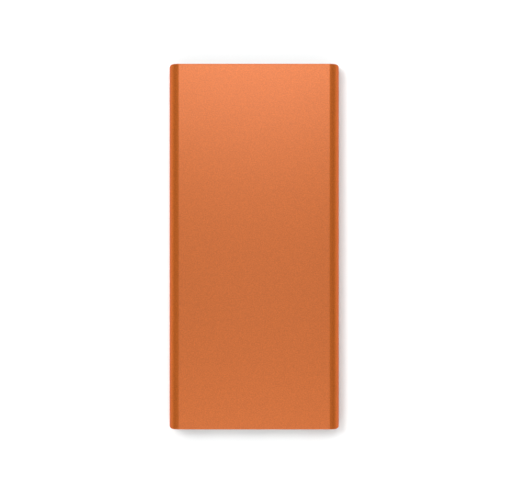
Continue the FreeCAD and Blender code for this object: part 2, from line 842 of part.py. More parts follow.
def make_port_inside(name, x):
    """A large socket's moulding, a tongue on a rear block, and its contacts, which end on the board."""
    block_front = f"{PORT_BACK} - block_depth"
    tongue_front = f"{PORT_MOUTH} + tongue_set_back"
    tongue_z = around(f"{MID} + tongue_lift", "tongue_height")
    fit = "2*(shell_wall + moulding_gap)"
    wide, high = around(x, f"port_width - {fit}"), around(MID, f"port_height - {fit}")
    rear = block(name + "_rear", wide, (block_front, PORT_BACK), high)
    rear = rounded(name + "_rear_soft", rear, "port_corner - shell_wall", lengthwise)
    tongue = block(name + "_tongue", around(x, "tongue_width"), (tongue_front, block_front), tongue_z)
    tongue = rounded(name + "_tongue_soft", tongue, "tongue_nose", at_level(tongue_front))

    start, tail = f"{tongue_front} + contact_set_back", f"{PORT_BACK} + contact_tail"
    strip_z = (f"{tongue_z[0]} - contact_thickness", tongue_z[0])
    contacts, slots = [], []
    for i, offset in enumerate(("-contact_outer", "-contact_inner", "contact_inner", "contact_outer")):
        strip_x = around(f"({x}) + ({offset})", "contact_width")
        label = f"{name}_contact_{i}"
        strip = block(label + "_strip", strip_x, (start, tail), strip_z)
        leg_y = (f"{tail} - contact_thickness", tail)
        leg = block(label + "_leg", strip_x, leg_y, ("board_top", strip_z[1]))
        foot_z = ("board_top", "board_top + contact_thickness")
        foot = block(label + "_foot", strip_x, (leg_y[0], f"{tail} + contact_foot"), foot_z)
        contacts.append(fuse(label, strip, leg, foot))
        slots.append(block(label + "_slot", strip_x, (block_front, tail), strip_z))
    insulator = cut(name + "_insulator", fuse(name + "_moulding", rear, tongue), *slots)
    return [insulator, group(name + "_contacts", *contacts)]


def make_micro_shell():
    """The small socket's shell, which sits on the board's tongue."""
    shell = new_body("micro_usb_shell")
    outside = Outline(shell, "outside", level=MICRO_BACK)
    outside.polygon(micro_corners("0"))
    pad(shell, outside, "micro_depth")
    inside = Outline(shell, "inside", level=MICRO_MOUTH)
    inside.polygon(micro_corners("-micro_wall"))
    pocket(shell, inside, "micro_depth")
    return shell


def make_micro_inside():
    """The small socket's moulding, a tongue on a rear block, and its contacts, which end on the board."""
    block_front = f"{MICRO_BACK} - micro_block_depth"
    rear = new_body("micro_rear")
    outline = Outline(rear, "outline", level=MICRO_BACK)
    outline.polygon(micro_corners("-micro_wall - moulding_gap"))
    pad(rear, outline, "micro_block_depth")
    tongue_z = around("board_top + micro_height/2 + micro_tongue_lift", "micro_tongue_height")
    tongue_y = (f"{MICRO_MOUTH} + micro_tongue_set_back", block_front)
    tongue = block("micro_tongue", around("0", "micro_tongue_width"), tongue_y, tongue_z)

    start, tail = f"{tongue_y[0]} + micro_contact_thickness", f"{MICRO_BACK} + micro_contact_tail"
    strip_z = (f"{tongue_z[0]} - micro_contact_thickness", tongue_z[0])
    contacts, slots = [], []
    for i in range(DIMENSIONS["micro_contact_count"]):
        centre = f"({i} - (micro_contact_count - 1)/2)*micro_contact_pitch"
        strip_x = around(centre, "micro_contact_width")
        label = f"micro_contact_{i}"
        strip = block(label + "_strip", strip_x, (start, tail), strip_z)
        leg_y = (f"{tail} - micro_contact_thickness", tail)
        leg = block(label + "_leg", strip_x, leg_y, ("board_top", strip_z[1]))
        foot_z = ("board_top", "board_top + micro_contact_thickness")
        foot = block(label + "_foot", strip_x, (leg_y[0], f"{tail} + micro_contact_foot"), foot_z)
        contacts.append(fuse(label, strip, leg, foot))
        slots.append(block(label + "_slot", strip_x, (block_front, tail), strip_z))
    insulator = cut("micro_usb_insulator", fuse("micro_moulding", rear, tongue), *slots)
    return [insulator, group("micro_usb_contacts", *contacts)]


def make_button():
    """The turned button: a dished cap, a flange that keeps it in, and a stem to the switch."""
    body = new_body("button_solid")
    outline = Outline(body, "half_section", plane="XY_Plane", level=MID)
    face = f"{FASCIA_FACE} - button_proud"
    flange_front = f"{SEAT} + running_gap"
    flange_back = f"{flange_front} + flange_thickness"
    tip = f"{PLUNGER_TIP} - running_gap"
    profile = [
        ("0", tip),
        ("stem_radius", tip),
        ("stem_radius", flange_back),
        ("flange_radius", flange_back),
        ("flange_radius", flange_front),
        ("button_radius", flange_front),
        ("button_radius", face),
        ("0", face),
    ]
    outline.polygon([(f"button_offset + {out}", y) for out, y in profile])
    turn = body.newObject("PartDesign::Revolution", "Revolution")
    turn.Profile = outline.sketch
    turn.ReferenceAxis = (outline.sketch, [f"Edge{len(profile)}"])
    turn.Angle = 360
    doc.recompute()
    dress(body, "button_edge", at_level(face))
    dish_ball = "(dish_radius^2 + dish_depth^2)/(2*dish_depth)"
    dish = ball("dish", dish_ball, "button_offset", f"{face} + dish_depth - {dish_ball}", MID)
    return cut("power_button", body, dish)


def make_switch():
    """The side-acting switch: a housing on the board, the plunger in it, and the snap dome."""
    x, front = "button_offset", "-switch_front"
    inside = f"{front} + switch_lip"
    seat = f"{inside} + cavity_depth"
    housing = new_body("switch_housing")
    outside = Outline(housing, "outside", level=f"{front} + switch_depth")
    standing = ("board_top", "board_top + switch_height")
    outside.rounded_rectangle(around(x, "switch_width"), standing, "switch_corner")
    pad(housing, outside, "switch_depth")
    gate = Outline(housing, "gate", level=front)
    width, height = "plunger_width + 2*plunger_gap", "plunger_height + 2*plunger_gap"
    gate.rectangle(around(x, width), around(MID, height))
    pocket(housing, gate, "switch_lip")
    cavity = Outline(housing, "cavity", level=inside)
    cavity.rectangle(around(x, "cavity_width"), around(MID, "cavity_height"))
    pocket(housing, cavity, "cavity_depth")

    heel_front = f"{inside} + running_gap"
    heel_y = (heel_front, f"{seat} - dome_height - running_gap")
    nose_y = (PLUNGER_TIP, heel_front)
    nose = block("plunger_nose", around(x, "plunger_width"), nose_y, around(MID, "plunger_height"))
    heel = block("plunger_heel", around(x, "heel_width"), heel_y, around(MID, "heel_height"))
    solid = fuse("plunger_solid", nose, heel)
    plunger = rounded("switch_plunger", solid, "plunger_edge", at_level(PLUNGER_TIP))
    return [housing, plunger, make_dome(x, seat)]


def make_dome(x, seat):
    """The snap dome: a cap of a thin hollow ball that stands on the back of the switch's cavity."""
    radius = "(dome_radius^2 + dome_height^2)/(2*dome_height)"
    centre = (x, f"{seat} - dome_height + {radius}", MID)
    outer = ball("dome_outer", radius, *centre)
    inner = ball("dome_inner", f"{radius} - dome_thickness", *centre)
    width = "2*dome_radius"
    keep = block("dome_keep", around(x, width), (f"{seat} - dome_height", seat), around(MID, width))
    dome = doc.addObject("Part::Common", "switch_dome")
    dome.Base = cut("dome_skin", outer, inner)
    dome.Tool = keep
    return dome


def make_lamps():
    """Four lamps on the board, and the clear guide that carries their light to the fascia."""
    bar_front = f"{SEAT} + running_gap"
    bar_width = "(lamp_count - 1)*lamp_pitch + 2*(lamp_radius + guide_end)"
    bar_y = (bar_front, f"{bar_front} + guide_depth")
    guide = [block("guide_bar", around("lamp_centre", bar_width), bar_y, ("guide_base", "guide_top"))]
    rod_length = f"{bar_front} - ({FASCIA_FACE})"
    led_y = ("-board_front + led_set_back", "-board_front + led_set_back + led_depth")
    led_z = ("board_top", "board_top + led_height")
    leds = []
    for i, x in enumerate(lamp_places()):
        guide.append(rod(f"guide_rod_{i}", "lamp_radius", rod_length, x, FASCIA_FACE, MID))
        leds.append(block(f"led_{i}", around(x, "led_width"), led_y, led_z))
    return [fuse("light_guide", *guide), group("indicator_leds", *leds)]


def component(name, middle, size):
    """A square-cornered component on the board's top face."""
    standing = ("board_top", f"board_top + {size[2]}")
    return block(name, around(middle[0], size[0]), around(middle[1], size[1]), standing)


def make_components():
    inductor = component("inductor_block", INDUCTOR_PLACE, INDUCTOR_SIZE)
    nodes = [rounded("power_inductor", inductor, INDUCTOR_CORNER, upright)]
    for name, places, size in COMPONENTS:
        pieces = [component(f"{name}_{i}", middle, size) for i, middle in enumerate(places)]
        nodes.append(group(name, *pieces))
    return nodes


def make_board_film():
    """A clear film over the sockets' shells, which keeps them off the sleeve's roof."""
    base = f"{MID} + port_height/2 + moulding_gap"
    x = between("board_half_width - film_margin")
    y = ("film_margin - board_front", "-board_back - film_margin")
    return block("board_film", x, y, (base, f"{base} + film_thickness"))


# ---------------------------------------------------------------- cell
def make_cell():
    """The pouch cell: a soft-edged slab with the thin sealed terrace that its tabs come out of."""
    body = new_body("pouch_cell")
    slab = Outline(body, "slab", plane="XY_Plane", level=CELL_BASE)
    slab.rounded_rectangle(between("cell_half_width"), ("-cell_front", "cell_back"), "cell_corner")
    pad(body, slab, "cell_thickness")
    on_face = (at_level(CELL_BASE, "Z"), at_level(CELL_TOP, "Z"))
    dress(body, "cell_edge", lambda edge: any(t(edge) for t in on_face))
    terrace = Outline(body, "terrace", plane="XY_Plane", level=CELL_BASE)
    depth = ("-cell_front - terrace_depth", "-cell_front + cell_corner")
    terrace.rectangle(between("cell_half_width - terrace_inset"), depth)
    pad(body, terrace, "terrace_thickness")
    return body


def make_cell_tapes():
    """Two strips of double-sided tape that hold the cell to the tray's floor."""
    y = ("-cell_front + foam_inset", "cell_back - foam_inset")
    strips = [
        block(f"cell_tape_{i}", around(f"{side}*cell_tape_x", "cell_tape_width"), y, (FLOOR, CELL_BASE))
        for i, side in enumerate((1, -1))
    ]
    return group("cell_tapes", *strips)


def make_foam_pads():
    """Three strips across the cell's top and one block at its end, which stop it shifting."""
    pads = []
    for step in (-1, 0, 1):
        y = around(f"foam_middle + ({step})*foam_pitch", "foam_depth")
        z = (CELL_TOP, f"{CELL_TOP} + foam_thickness")
        pads.append(block(f"foam_{step + 1}", between("cell_half_width - foam_inset"), y, z))
    end_y = ("cell_back", f"-({SEAT}) - slide_gap")
    end_z = (f"{CELL_BASE} + cell_edge", f"{CELL_TOP} - cell_edge")
    pads.append(block("foam_end", between("foam_end_half"), end_y, end_z))
    return group("foam_pads", *pads)


def make_guard():
    """The protection board over the terrace, its spacer and chips, and the tape over them."""
    base = "board_top - guard_thickness"
    terrace_top = f"{CELL_BASE} + terrace_thickness"
    middle = "-guard_front + guard_depth/2"
    half, y = between("guard_half_width"), around(middle, "guard_depth")
    spacer_y = ("-cell_front - terrace_depth + slide_gap", f"{y[1]} - slide_gap")
    spacer = block("protection_spacer", half, spacer_y, (terrace_top, base))
    board = block("protection_board", half, y, (base, "board_top"))
    chip_top = "board_top + guard_chip_height"
    chip_y, chip_z = around(middle, "guard_chip_depth"), ("board_top", chip_top)
    chips = [
        block(f"guard_chip_{i}", around(x, width), chip_y, chip_z)
        for i, (x, width) in enumerate(GUARD_CHIPS)
    ]
    first, last = GUARD_CHIPS[0], GUARD_CHIPS[-1]
    tape_x = (first[0] - first[1] / 2, last[0] + last[1] / 2)
    tape = block("insulating_tape", tape_x, y, (chip_top, f"{chip_top} + guard_tape_thickness"))
    return [spacer, board, group("protection_chips", *chips), tape]


def make_tab(name, x):
    """A cell's tab: out of the terrace, up the front of the protection board and back over its top."""
    across = around(x, "tab_width")
    edge = "-cell_front - terrace_depth"
    tip = f"{edge} - tab_reach"
    base = f"{CELL_BASE} + (terrace_thickness - tab_thickness)/2"
    top = "board_top + tab_thickness"
    flat = block(name + "_flat", across, (tip, edge), (base, f"{base} + tab_thickness"))
    riser = block(name + "_riser", across, (tip, f"{tip} + tab_thickness"), (base, top))
    fold = block(name + "_fold", across, (tip, f"{tip} + tab_fold"), ("board_top", top))
    return fuse(name, flat, riser, fold)


# ---------------------------------------------------------------- leads
def make_lead(name, side):
    """A lead from the protection board's pad, which steps sideways in two equal bends."""
    body = new_body(name)
    level = "board_top + lead_lift + lead_radius"
    start_x, end_x = f"{side}*lead_start_x", f"{side}*lead_end_x"
    path = Outline(body, "path", plane="XY_Plane", level=level)
    turn = lead_turn()
    reach = number("lead_bend") * math.tan(turn / 2)
    points = lead_corners(side, reach)
    along = (points[2] - points[1]).normalize() * reach
    ahead = Vector(0, -reach)
    bends = [(points[1] - ahead, points[1] + along), (points[2] - along, points[2] + ahead)]
    inset = number("lead_bend") * (1 / math.cos(turn / 2) - 1)
    arcs = []
    for corner, (enter, leave) in zip(points[1:3], bends):
        inwards = ((enter + leave) * 0.5 - corner).normalize()
        arcs.append(Part.Arc(enter, corner + inwards * inset, leave))
    lines = [Part.LineSegment(points[0], bends[0][0]), Part.LineSegment(bends[0][1], bends[1][0])]
    lines.append(Part.LineSegment(bends[1][1], points[3]))
    for piece in (lines[0], arcs[0], lines[1], arcs[1], lines[2]):
        path.sketch.addGeometry(piece)
    join_lead(path, side)
    path.pin(0, 1, start_x, "lead_start_y")
    path.pin(4, 2, end_x, "lead_end_y")
    path.size("Distance", 0, "lead_straight")
    path.size("Radius", 1, "lead_bend")

    section = Outline(body, "section", level="lead_start_y")
    section.circle(start_x, level, "lead_radius")
    pipe = body.newObject("PartDesign::AdditivePipe", "Pipe")
    pipe.Profile = section.sketch
    pipe.Spine = (path.sketch, [f"Edge{i}" for i in range(1, 6)])
    doc.recompute()
    return body


def lead_turn():
    """The turn at each of a lead's bends: the tangent of its half is the root of a quadratic."""
    aside = number("lead_end_x - lead_start_x")
    along = number("lead_start_y - lead_end_y - 2*lead_straight")
    spare = 4 * number("lead_bend") - aside
    return 2 * math.atan((along - math.sqrt(along**2 - spare * aside)) / spare)


def lead_corners(side, reach):
    """The ends of a lead's route and the two corners between them, a bend's reach past its straights."""
    start = Vector(side * number("lead_start_x"), number("lead_start_y"))
    end = Vector(side * number("lead_end_x"), number("lead_end_y"))
    step = Vector(0, number("lead_straight") + reach)
    return [start, start - step, end + step, end]


def join_lead(path, side):
    """Tangent joints along a lead's path, whose ends both run straight along Y."""
    # An arc is kept anticlockwise, so the end that comes first depends on which way it bends.
    first, second = ((1, 2), (2, 1)) if side > 0 else ((2, 1), (1, 2))
    path.hold("Tangent", 0, 2, 1, first[0])
    path.hold("Tangent", 1, first[1], 2, 1)
    path.hold("Tangent", 2, 2, 3, second[0])
    path.hold("Tangent", 3, second[1], 4, 1)
    path.hold("Vertical", 0)
    path.hold("Vertical", 4)
    path.hold("Equal", 1, 3)
    path.hold("Equal", 0, 4)


def make_solder():
    """A rounded fillet of solder at each end of both leads."""
    joints = []
    for side in (1, -1):
        starts = (f"{side}*lead_start_x", ("lead_start_y", "lead_start_y + solder_depth"))
        ends = (f"{side}*lead_end_x", ("lead_end_y - solder_depth", "lead_end_y"))
        for x, y in (starts, ends):
            name = f"solder_{len(joints)}"
            standing = ("board_top", "board_top + solder_height")
            drop = block(name + "_block", around(x, "solder_width"), y, standing)
            joints.append(rounded(name, drop, "solder_edge", at_level("board_top + solder_height", "Z")))
    return group("lead_solder", *joints)


# ---------------------------------------------------------------- assembly
def make_nodes():
    nodes = [
        make_sleeve(),
        make_bulkhead("port_bulkhead", with_sockets=True),
        make_bulkhead("blind_bulkhead", with_sockets=False),
        make_fascia("port_fascia", with_sockets=True),
        make_fascia("blind_fascia", with_sockets=False),
        make_fascia_tape("port_fascia_tape", with_sockets=True),
        make_fascia_tape("blind_fascia_tape", with_sockets=False),
        make_end_screws("port_end_screws"),
        make_end_screws("blind_end_screws", at_back=True),
        make_tray(),
        make_board(),
        make_board_screws(),
        make_micro_shell(),
        make_button(),
        make_board_film(),
        make_cell(),
        make_cell_tapes(),
        make_foam_pads(),
        make_tab("positive_tab", "tab_offset"),
        make_tab("negative_tab", "-tab_offset"),
        make_lead("positive_lead", 1),
        make_lead("negative_lead", -1),
        make_solder(),
    ]
    for side, sign in (("left", -1), ("right", 1)):
        x = f"{sign}*port_offset"
        nodes += [make_port_shell(f"usb_a_{side}_shell", x), *make_port_inside(f"usb_a_{side}", x)]
    return nodes + make_micro_inside() + make_switch() + make_lamps() + make_components() + make_guard()


def export(nodes):
    """Checks every object and every sub-part, then writes each sub-part's file."""
    doc.recompute()
    broken = [thing.Name for thing in doc.Objects if {"Invalid", "Error"} & set(thing.State)]
    if broken:
        raise ValueError(f"these objects failed: {broken}")
    for node in nodes:
        if node.Shape.isNull() or not node.Shape.isValid() or not node.Shape.Solids:
            raise ValueError(f"{node.Label} has no valid solid")
    os.makedirs("parts", exist_ok=True)
    for node in nodes:
        node.Shape.exportStep(f"parts/{node.Label}.step")


fill_sheet()
export(make_nodes())
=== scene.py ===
import json
from math import acos, asin, atan2, copysign, cos, degrees, pi, radians, sin, sqrt

import bmesh
import bpy
from mathutils import Matrix, Vector


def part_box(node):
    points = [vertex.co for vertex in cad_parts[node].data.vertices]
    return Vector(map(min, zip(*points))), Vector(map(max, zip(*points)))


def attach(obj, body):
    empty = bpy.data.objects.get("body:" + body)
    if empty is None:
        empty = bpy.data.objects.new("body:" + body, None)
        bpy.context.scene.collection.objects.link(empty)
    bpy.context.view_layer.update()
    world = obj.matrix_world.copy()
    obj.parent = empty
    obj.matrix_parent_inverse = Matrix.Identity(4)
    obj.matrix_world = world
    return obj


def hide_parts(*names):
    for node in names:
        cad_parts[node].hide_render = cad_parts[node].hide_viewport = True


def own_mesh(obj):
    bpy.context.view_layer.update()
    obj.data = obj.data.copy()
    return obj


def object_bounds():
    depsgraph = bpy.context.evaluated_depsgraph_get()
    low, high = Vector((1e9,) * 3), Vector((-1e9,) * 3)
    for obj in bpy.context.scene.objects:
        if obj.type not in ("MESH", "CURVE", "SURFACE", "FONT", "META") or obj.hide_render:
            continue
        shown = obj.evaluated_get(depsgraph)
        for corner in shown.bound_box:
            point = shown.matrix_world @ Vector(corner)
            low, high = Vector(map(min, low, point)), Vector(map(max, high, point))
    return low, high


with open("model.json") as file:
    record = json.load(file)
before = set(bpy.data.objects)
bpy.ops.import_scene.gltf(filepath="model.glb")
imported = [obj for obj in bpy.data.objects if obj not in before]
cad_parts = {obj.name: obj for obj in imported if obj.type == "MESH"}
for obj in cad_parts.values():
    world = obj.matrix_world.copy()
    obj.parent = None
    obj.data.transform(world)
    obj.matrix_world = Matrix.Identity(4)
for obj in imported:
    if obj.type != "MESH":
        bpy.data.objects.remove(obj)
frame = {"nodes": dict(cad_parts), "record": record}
CAD_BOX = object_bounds()
MM = 0.001
LOW, HIGH = CAD_BOX
MIDDLE = (LOW + HIGH) / 2
HALF = (HIGH - LOW) / 2

BODY_OF = {node: body for body, nodes in frame["record"]["behaviour"]["bodies"].items() for node in nodes}
SLOT_OF = {row["node"]: row["material_slot"] for row in frame["record"]["subparts"]}

# The sleeve's section and ends, in metres.
SIDE_RADIUS = 5.18 * MM
CREASE_RADIUS = 2.2 * MM
WALL = 1.0 * MM
RIM_RADIUS = 0.3 * MM
CORNER_RADIUS = 1.3 * MM
RIM_EDGE = 0.12 * MM

# Half the gap of the seam in a folded socket shell.
HALF_SEAM = 0.03 * MM

# The cross recess of a screw: how long its arms are, and half their width.
CROSS_ARM = 0.85 * MM
CROSS_WIDTH = 0.225 * MM

# Dyed oxide reflects orange even where light grazes it.
EDGE_TINT = (0.85, 0.40, 0.18, 1)

# The stage: the floor, how bright the studio is beyond the ends and on the right, and the view.
FLOOR_GAP = 0.03 * MM
FLOOR_RADIUS = 6.0
END_GAIN = 1.8
RIGHT_GAIN = 0.93
VIEW_WIDTH = 208.3 * MM
CAMERA_PLACE = (-0.70 * MM, -1.40 * MM)

# The key's place, aim and strength, and how wide it looks from the floor.
KEY = (-0.58, 0.30, 1.00), (0, 0, 0), 1.56
KEY_ANGLE = radians(28)

# The softboxes: each one's name, place, aim, size and power.
SOFTBOXES = (
    ("overhead", (0, -0.08, 1.30), (0, -0.04, 0), (0.50, 0.80), 1.10),
    ("far_end", (0, 0.22, 0.30), (0, 0.075, 0), (0.30, 0.10), 0.29),
    ("far_fill", (0, 0.25, 0.80), (0, 0.075, 0), (0.30, 0.15), 0.45),
    ("near_fill", (0, -0.55, 0.90), (0, 0, 0), (0.80, 0.30), 2.70),
    ("far_strip", (0, 0.21, 0.80), (0, 0.21, 0), (0.60, 0.05), 0.15),
)


def mm(*lengths):
    """Lengths in millimetres, as metres."""
    return [length * MM for length in lengths]


# ---- The frame's places
class Place:
    """A box in the frame: its corners, its middle (x, y, z), its size and the middle of its far side."""

    def __init__(self, corners):
        self.low, self.high = (Vector(corner) for corner in corners)
        self.middle = (self.low + self.high) / 2
        self.x, self.y, self.z = self.middle
        self.size = self.high - self.low
        self.back = (self.x, self.high.y, self.z)


def place_of(node):
    return Place(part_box(node))


def solids(node):
    """The box of each separate solid of a CAD node, in order along X and then Y."""
    bm = bmesh.new()
    bm.from_mesh(frame["nodes"][node].data)
    bmesh.ops.remove_doubles(bm, verts=bm.verts, dist=1e-6)
    waiting = set(bm.verts)
    boxes = []
    while waiting:
        group = [waiting.pop()]
        for vertex in group:
            near = {edge.other_vert(vertex) for edge in vertex.link_edges} & waiting
            waiting -= near
            group.extend(near)
        places = [[v.co[axis] for v in group] for axis in range(3)]
        boxes.append(Place([[pick(values) for values in places] for pick in (min, max)]))
    bm.free()
    return sorted(boxes, key=lambda box: (round(box.low.x, 5), box.low.y))


# ---- Mesh tools
def in_scene(name, data):
    thing = bpy.data.objects.new(name, data)
    bpy.context.scene.collection.objects.link(thing)
    return thing


def add_object(name, bm, sharp=35):
    """Makes an object of a bmesh, smooth except at edges sharper than an angle."""
    bmesh.ops.remove_doubles(bm, verts=bm.verts, dist=1e-7)
    bmesh.ops.recalc_face_normals(bm, faces=bm.faces)
    mesh = bpy.data.meshes.new(name)
    bm.to_mesh(mesh)
    bm.free()
    mesh.shade_smooth()
    mesh.set_sharp_from_angle(angle=radians(sharp))
    return in_scene(name, mesh)


def add_piece(bm, node, part="finished", slot=None, sharp=35):
    """A piece that stands for a CAD node, rides on its body and has the look of a slot."""
    piece = add_object(f"{node}_{part}", bm, sharp)
    slot = slot or SLOT_OF[node]
    piece.data.materials.append(LOOKS[slot])
    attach(piece, BODY_OF[node])
    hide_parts(node)
    return piece


def ring(bm, points):
    return [bm.verts.new(point) for point in points]


def bridge(bm, rings):
    """Faces between each closed ring of vertices and the next; a ring of one vertex is a tip."""
    for low, high in zip(rings, rings[1:]):
        count = max(len(low), len(high))
        for i in range(count):
            j = (i + 1) % count
            corners = [low[i % len(low)], low[j % len(low)], high[j % len(high)], high[i % len(high)]]
            bm.faces.new(dict.fromkeys(corners))


def add_loft(bm, rings):
    """A closed solid through rings of points, capped at both ends."""
    made = [ring(bm, points) for points in rings]
    bridge(bm, made)
    for end in (made[0], made[-1]):
        if len(end) > 2:
            bm.faces.new(end)


def add_prism(bm, outline, low, high):
    """A closed outline of (x, z) points, run along Y from low to high."""
    add_loft(bm, [[(x, y, z) for x, z in outline] for y in (low, high)])


def add_block(bm, low, high, radius=0.05 * MM, segments=2):
    """A block between two corners, with rounded edges."""
    low, high = Vector(low), Vector(high)
    place = Matrix.Translation((low + high) / 2) @ Matrix.Diagonal((*(high - low), 1))
    corners = bmesh.ops.create_cube(bm, size=1, matrix=place)["verts"]
    edges = {edge for corner in corners for edge in corner.link_edges}
    bmesh.ops.bevel(bm, geom=list(edges), offset=radius, segments=segments, profile=0.5, affect="EDGES")


def add_turned(bm, place, profile, angles=48):
    """A profile of (radius, height) points turned about a place's own Z; a radius of 0 closes the end."""
    if isinstance(angles, int):
        angles = [2 * pi * i / angles for i in range(angles)]
    rings = []
    for radius, height in profile:
        reach = radius if callable(radius) else (lambda angle, r=radius: r)
        around = angles if radius else [0]
        points = [(reach(a) * cos(a), reach(a) * sin(a), height) for a in around]
        rings.append([place @ Vector(point) for point in points])
    add_loft(bm, rings)


def add_strip(bm, path, low_x, high_x, thickness):
    """A strip of sheet metal, from low_x to high_x wide, along a path of (y, z) points."""
    half, bevel = thickness / 2, thickness / 5
    section = [(low_x + bevel, half), (high_x - bevel, half), (high_x, half - bevel), (high_x, bevel - half)]
    section += [(high_x - bevel, -half), (low_x + bevel, -half), (low_x, bevel - half), (low_x, half - bevel)]
    rings = []
    for i, (y, z) in enumerate(path):
        before, after = path[max(i - 1, 0)], path[min(i + 1, len(path) - 1)]
        along = Vector((after[0] - before[0], after[1] - before[1])).normalized()
        rings.append([(x, y - along.y * up, z + along.x * up) for x, up in section])
    add_loft(bm, rings)


def arc(centre, radius, start, stop, steps):
    """Points of an arc in degrees, anticlockwise from the first axis."""
    angles = [radians(start + (stop - start) * i / steps) for i in range(steps + 1)]
    return [(centre[0] + radius * cos(a), centre[1] + radius * sin(a)) for a in angles]


def rounded_outline(low, high, radius, stops=(), steps=4):
    """A rounded rectangle of (x, z) points, with extra points at some x on its floor and its roof."""
    (left, floor), (right, roof) = low, high
    stops = sorted(stops)
    outline = [(x, floor) for x in stops]
    outline += arc((right - radius, floor + radius), radius, -90, 0, steps)
    outline += arc((right - radius, roof - radius), radius, 0, 90, steps)
    outline += [(x, roof) for x in reversed(stops)]
    outline += arc((left + radius, roof - radius), radius, 90, 180, steps)
    outline += arc((left + radius, floor + radius), radius, 180, 270, steps)
    return outline


def drawn_in(outline, centre, across, up):
    """An outline scaled about a centre, by one share across and another one up."""
    return [(centre[0] + (u - centre[0]) * across, centre[1] + (v - centre[1]) * up) for u, v in outline]


# ---- Sleeve
def sleeve_profile():
    """Points round the outside of the section: (x, z, tilt), where tilt is the normal's angle from +Z."""
    rise = HALF.z - CREASE_RADIUS
    reach = HALF.x - SIDE_RADIUS
    blend = sqrt((SIDE_RADIUS - CREASE_RADIUS) ** 2 - rise**2)
    meet = atan2(blend, rise)
    crease_steps, side_steps = 8, 26
    crease_tilts = [meet * i / crease_steps for i in range(crease_steps)]
    side_tilts = [meet + (pi / 2 - meet) * i / side_steps for i in range(side_steps + 1)]
    crease, side = (reach + blend, rise, CREASE_RADIUS, crease_tilts), (reach, 0, SIDE_RADIUS, side_tilts)
    quarter = []
    for x, z, radius, tilts in (crease, side):
        quarter += [(x + radius * sin(tilt), z + radius * cos(tilt), tilt) for tilt in tilts]
    lower = [(x, -z, pi - tilt) for x, z, tilt in reversed(quarter[:-1])]
    right = quarter + lower
    left = [(-x, z, -tilt) for x, z, tilt in reversed(right)]
    return [(x, z + MIDDLE.z, tilt) for x, z, tilt in right + left]


def bore_point(x, z, tilt):
    """The point of the bore that lies behind a point of the outside."""
    reach = HALF.x - SIDE_RADIUS
    radius, rise = SIDE_RADIUS - WALL, HALF.z - WALL
    side, up = (1 if x > 0 else -1), (1 if z > MIDDLE.z else -1)
    turn = min(abs(tilt), pi - abs(tilt))
    meet = acos(rise / radius)
    if turn < meet:
        spacing = 0.06 * MM * (1 - turn / meet)
        return side * (reach + radius * sin(meet) - spacing), MIDDLE.z + up * rise
    return side * (reach + radius * sin(turn)), MIDDLE.z + up * radius * cos(turn)


def sleeve_rings(bm, end):
    """Rings of vertices from where the rim's rounding starts to the mouth of the bore."""
    steps = 8
    profile = sleeve_profile()
    rings = []
    for step in range(steps + 1):
        points = []
        for x, z, tilt in profile:
            radius = RIM_RADIUS + (CORNER_RADIUS - RIM_RADIUS) * sin(tilt) ** 6
            deepest = min(radius, WALL - RIM_EDGE)
            turn = acos(1 - deepest / radius) * step / steps
            inset = radius * (1 - cos(turn))
            y = HALF.y - radius + radius * sin(turn)
            points.append((x - inset * sin(tilt), end * y, z - inset * cos(tilt)))
        rings.append(ring(bm, points))
    tips = [v.co.copy() for v in rings[-1]]
    for share, back in ((0.8, 0.02 * MM), (1.0, RIM_EDGE)):
        points = []
        for tip, place in zip(tips, profile):
            x, z = bore_point(*place)
            points.append((tip.x + (x - tip.x) * share, tip.y - end * back, tip.z + (z - tip.z) * share))
        rings.append(ring(bm, points))
    return rings


def add_lug(bm, side):
    """One of the C-shaped channels that the end screws cut into, open towards the inside."""
    inner, outer, half_height, end = mm(30.2, 34.0, 1.5, 72.3)
    centre, radius, half_slot = (31.6 * MM, 0.0), 0.7 * MM, 0.4 * MM
    opening = degrees(asin(half_slot / radius))
    hole = arc(centre, radius, 180 - opening, -180 + opening, 20)
    outline = [(inner, half_slot), *hole, (inner, -half_slot)]
    outline += [(inner, -half_height), (outer, -half_height), (outer, half_height), (inner, half_height)]
    add_prism(bm, [(side * x, MIDDLE.z + z) for x, z in outline], -end, end)


def make_sleeve():
    bm = bmesh.new()
    front, back = sleeve_rings(bm, -1), sleeve_rings(bm, 1)
    for rings in (front, back, (front[0], back[0]), (front[-1], back[-1])):
        bridge(bm, rings)
    for side in (-1, 1):
        add_lug(bm, side)
    add_piece(bm, "sleeve", sharp=40)


# ---- Sockets
def fold_sheet(bm, outline, stations, thickness, missing, shift):
    """Sheet metal folded round an outline, along Y through stations, without its missing cells."""
    rows = [ring(bm, [shift(x, y, z) for x, z in outline]) for y in stations]
    count = len(outline)
    faces = []
    for low, high, first, last in zip(rows, rows[1:], stations, stations[1:]):
        for i in range(count):
            j = (i + 1) % count
            x, z = ((a + b) / 2 for a, b in zip(outline[i], outline[j]))
            if not missing(x, (first + last) / 2, z):
                faces.append(bm.faces.new((low[i], low[j], high[j], high[i])))
    loose = [vertex for vertex in bm.verts if not vertex.link_faces]
    bmesh.ops.delete(bm, geom=loose, context="VERTS")
    bm.normal_update()
    rims = [edge for edge in bm.edges if len(edge.link_faces) == 1]
    inside = {v: bm.verts.new(v.co + v.normal * thickness) for v in list(bm.verts)}
    for face in faces:
        bm.faces.new([inside[vertex] for vertex in reversed(face.verts)])
    for first, last in [edge.verts for edge in rims]:
        bm.faces.new((first, last, inside[last], inside[first]))


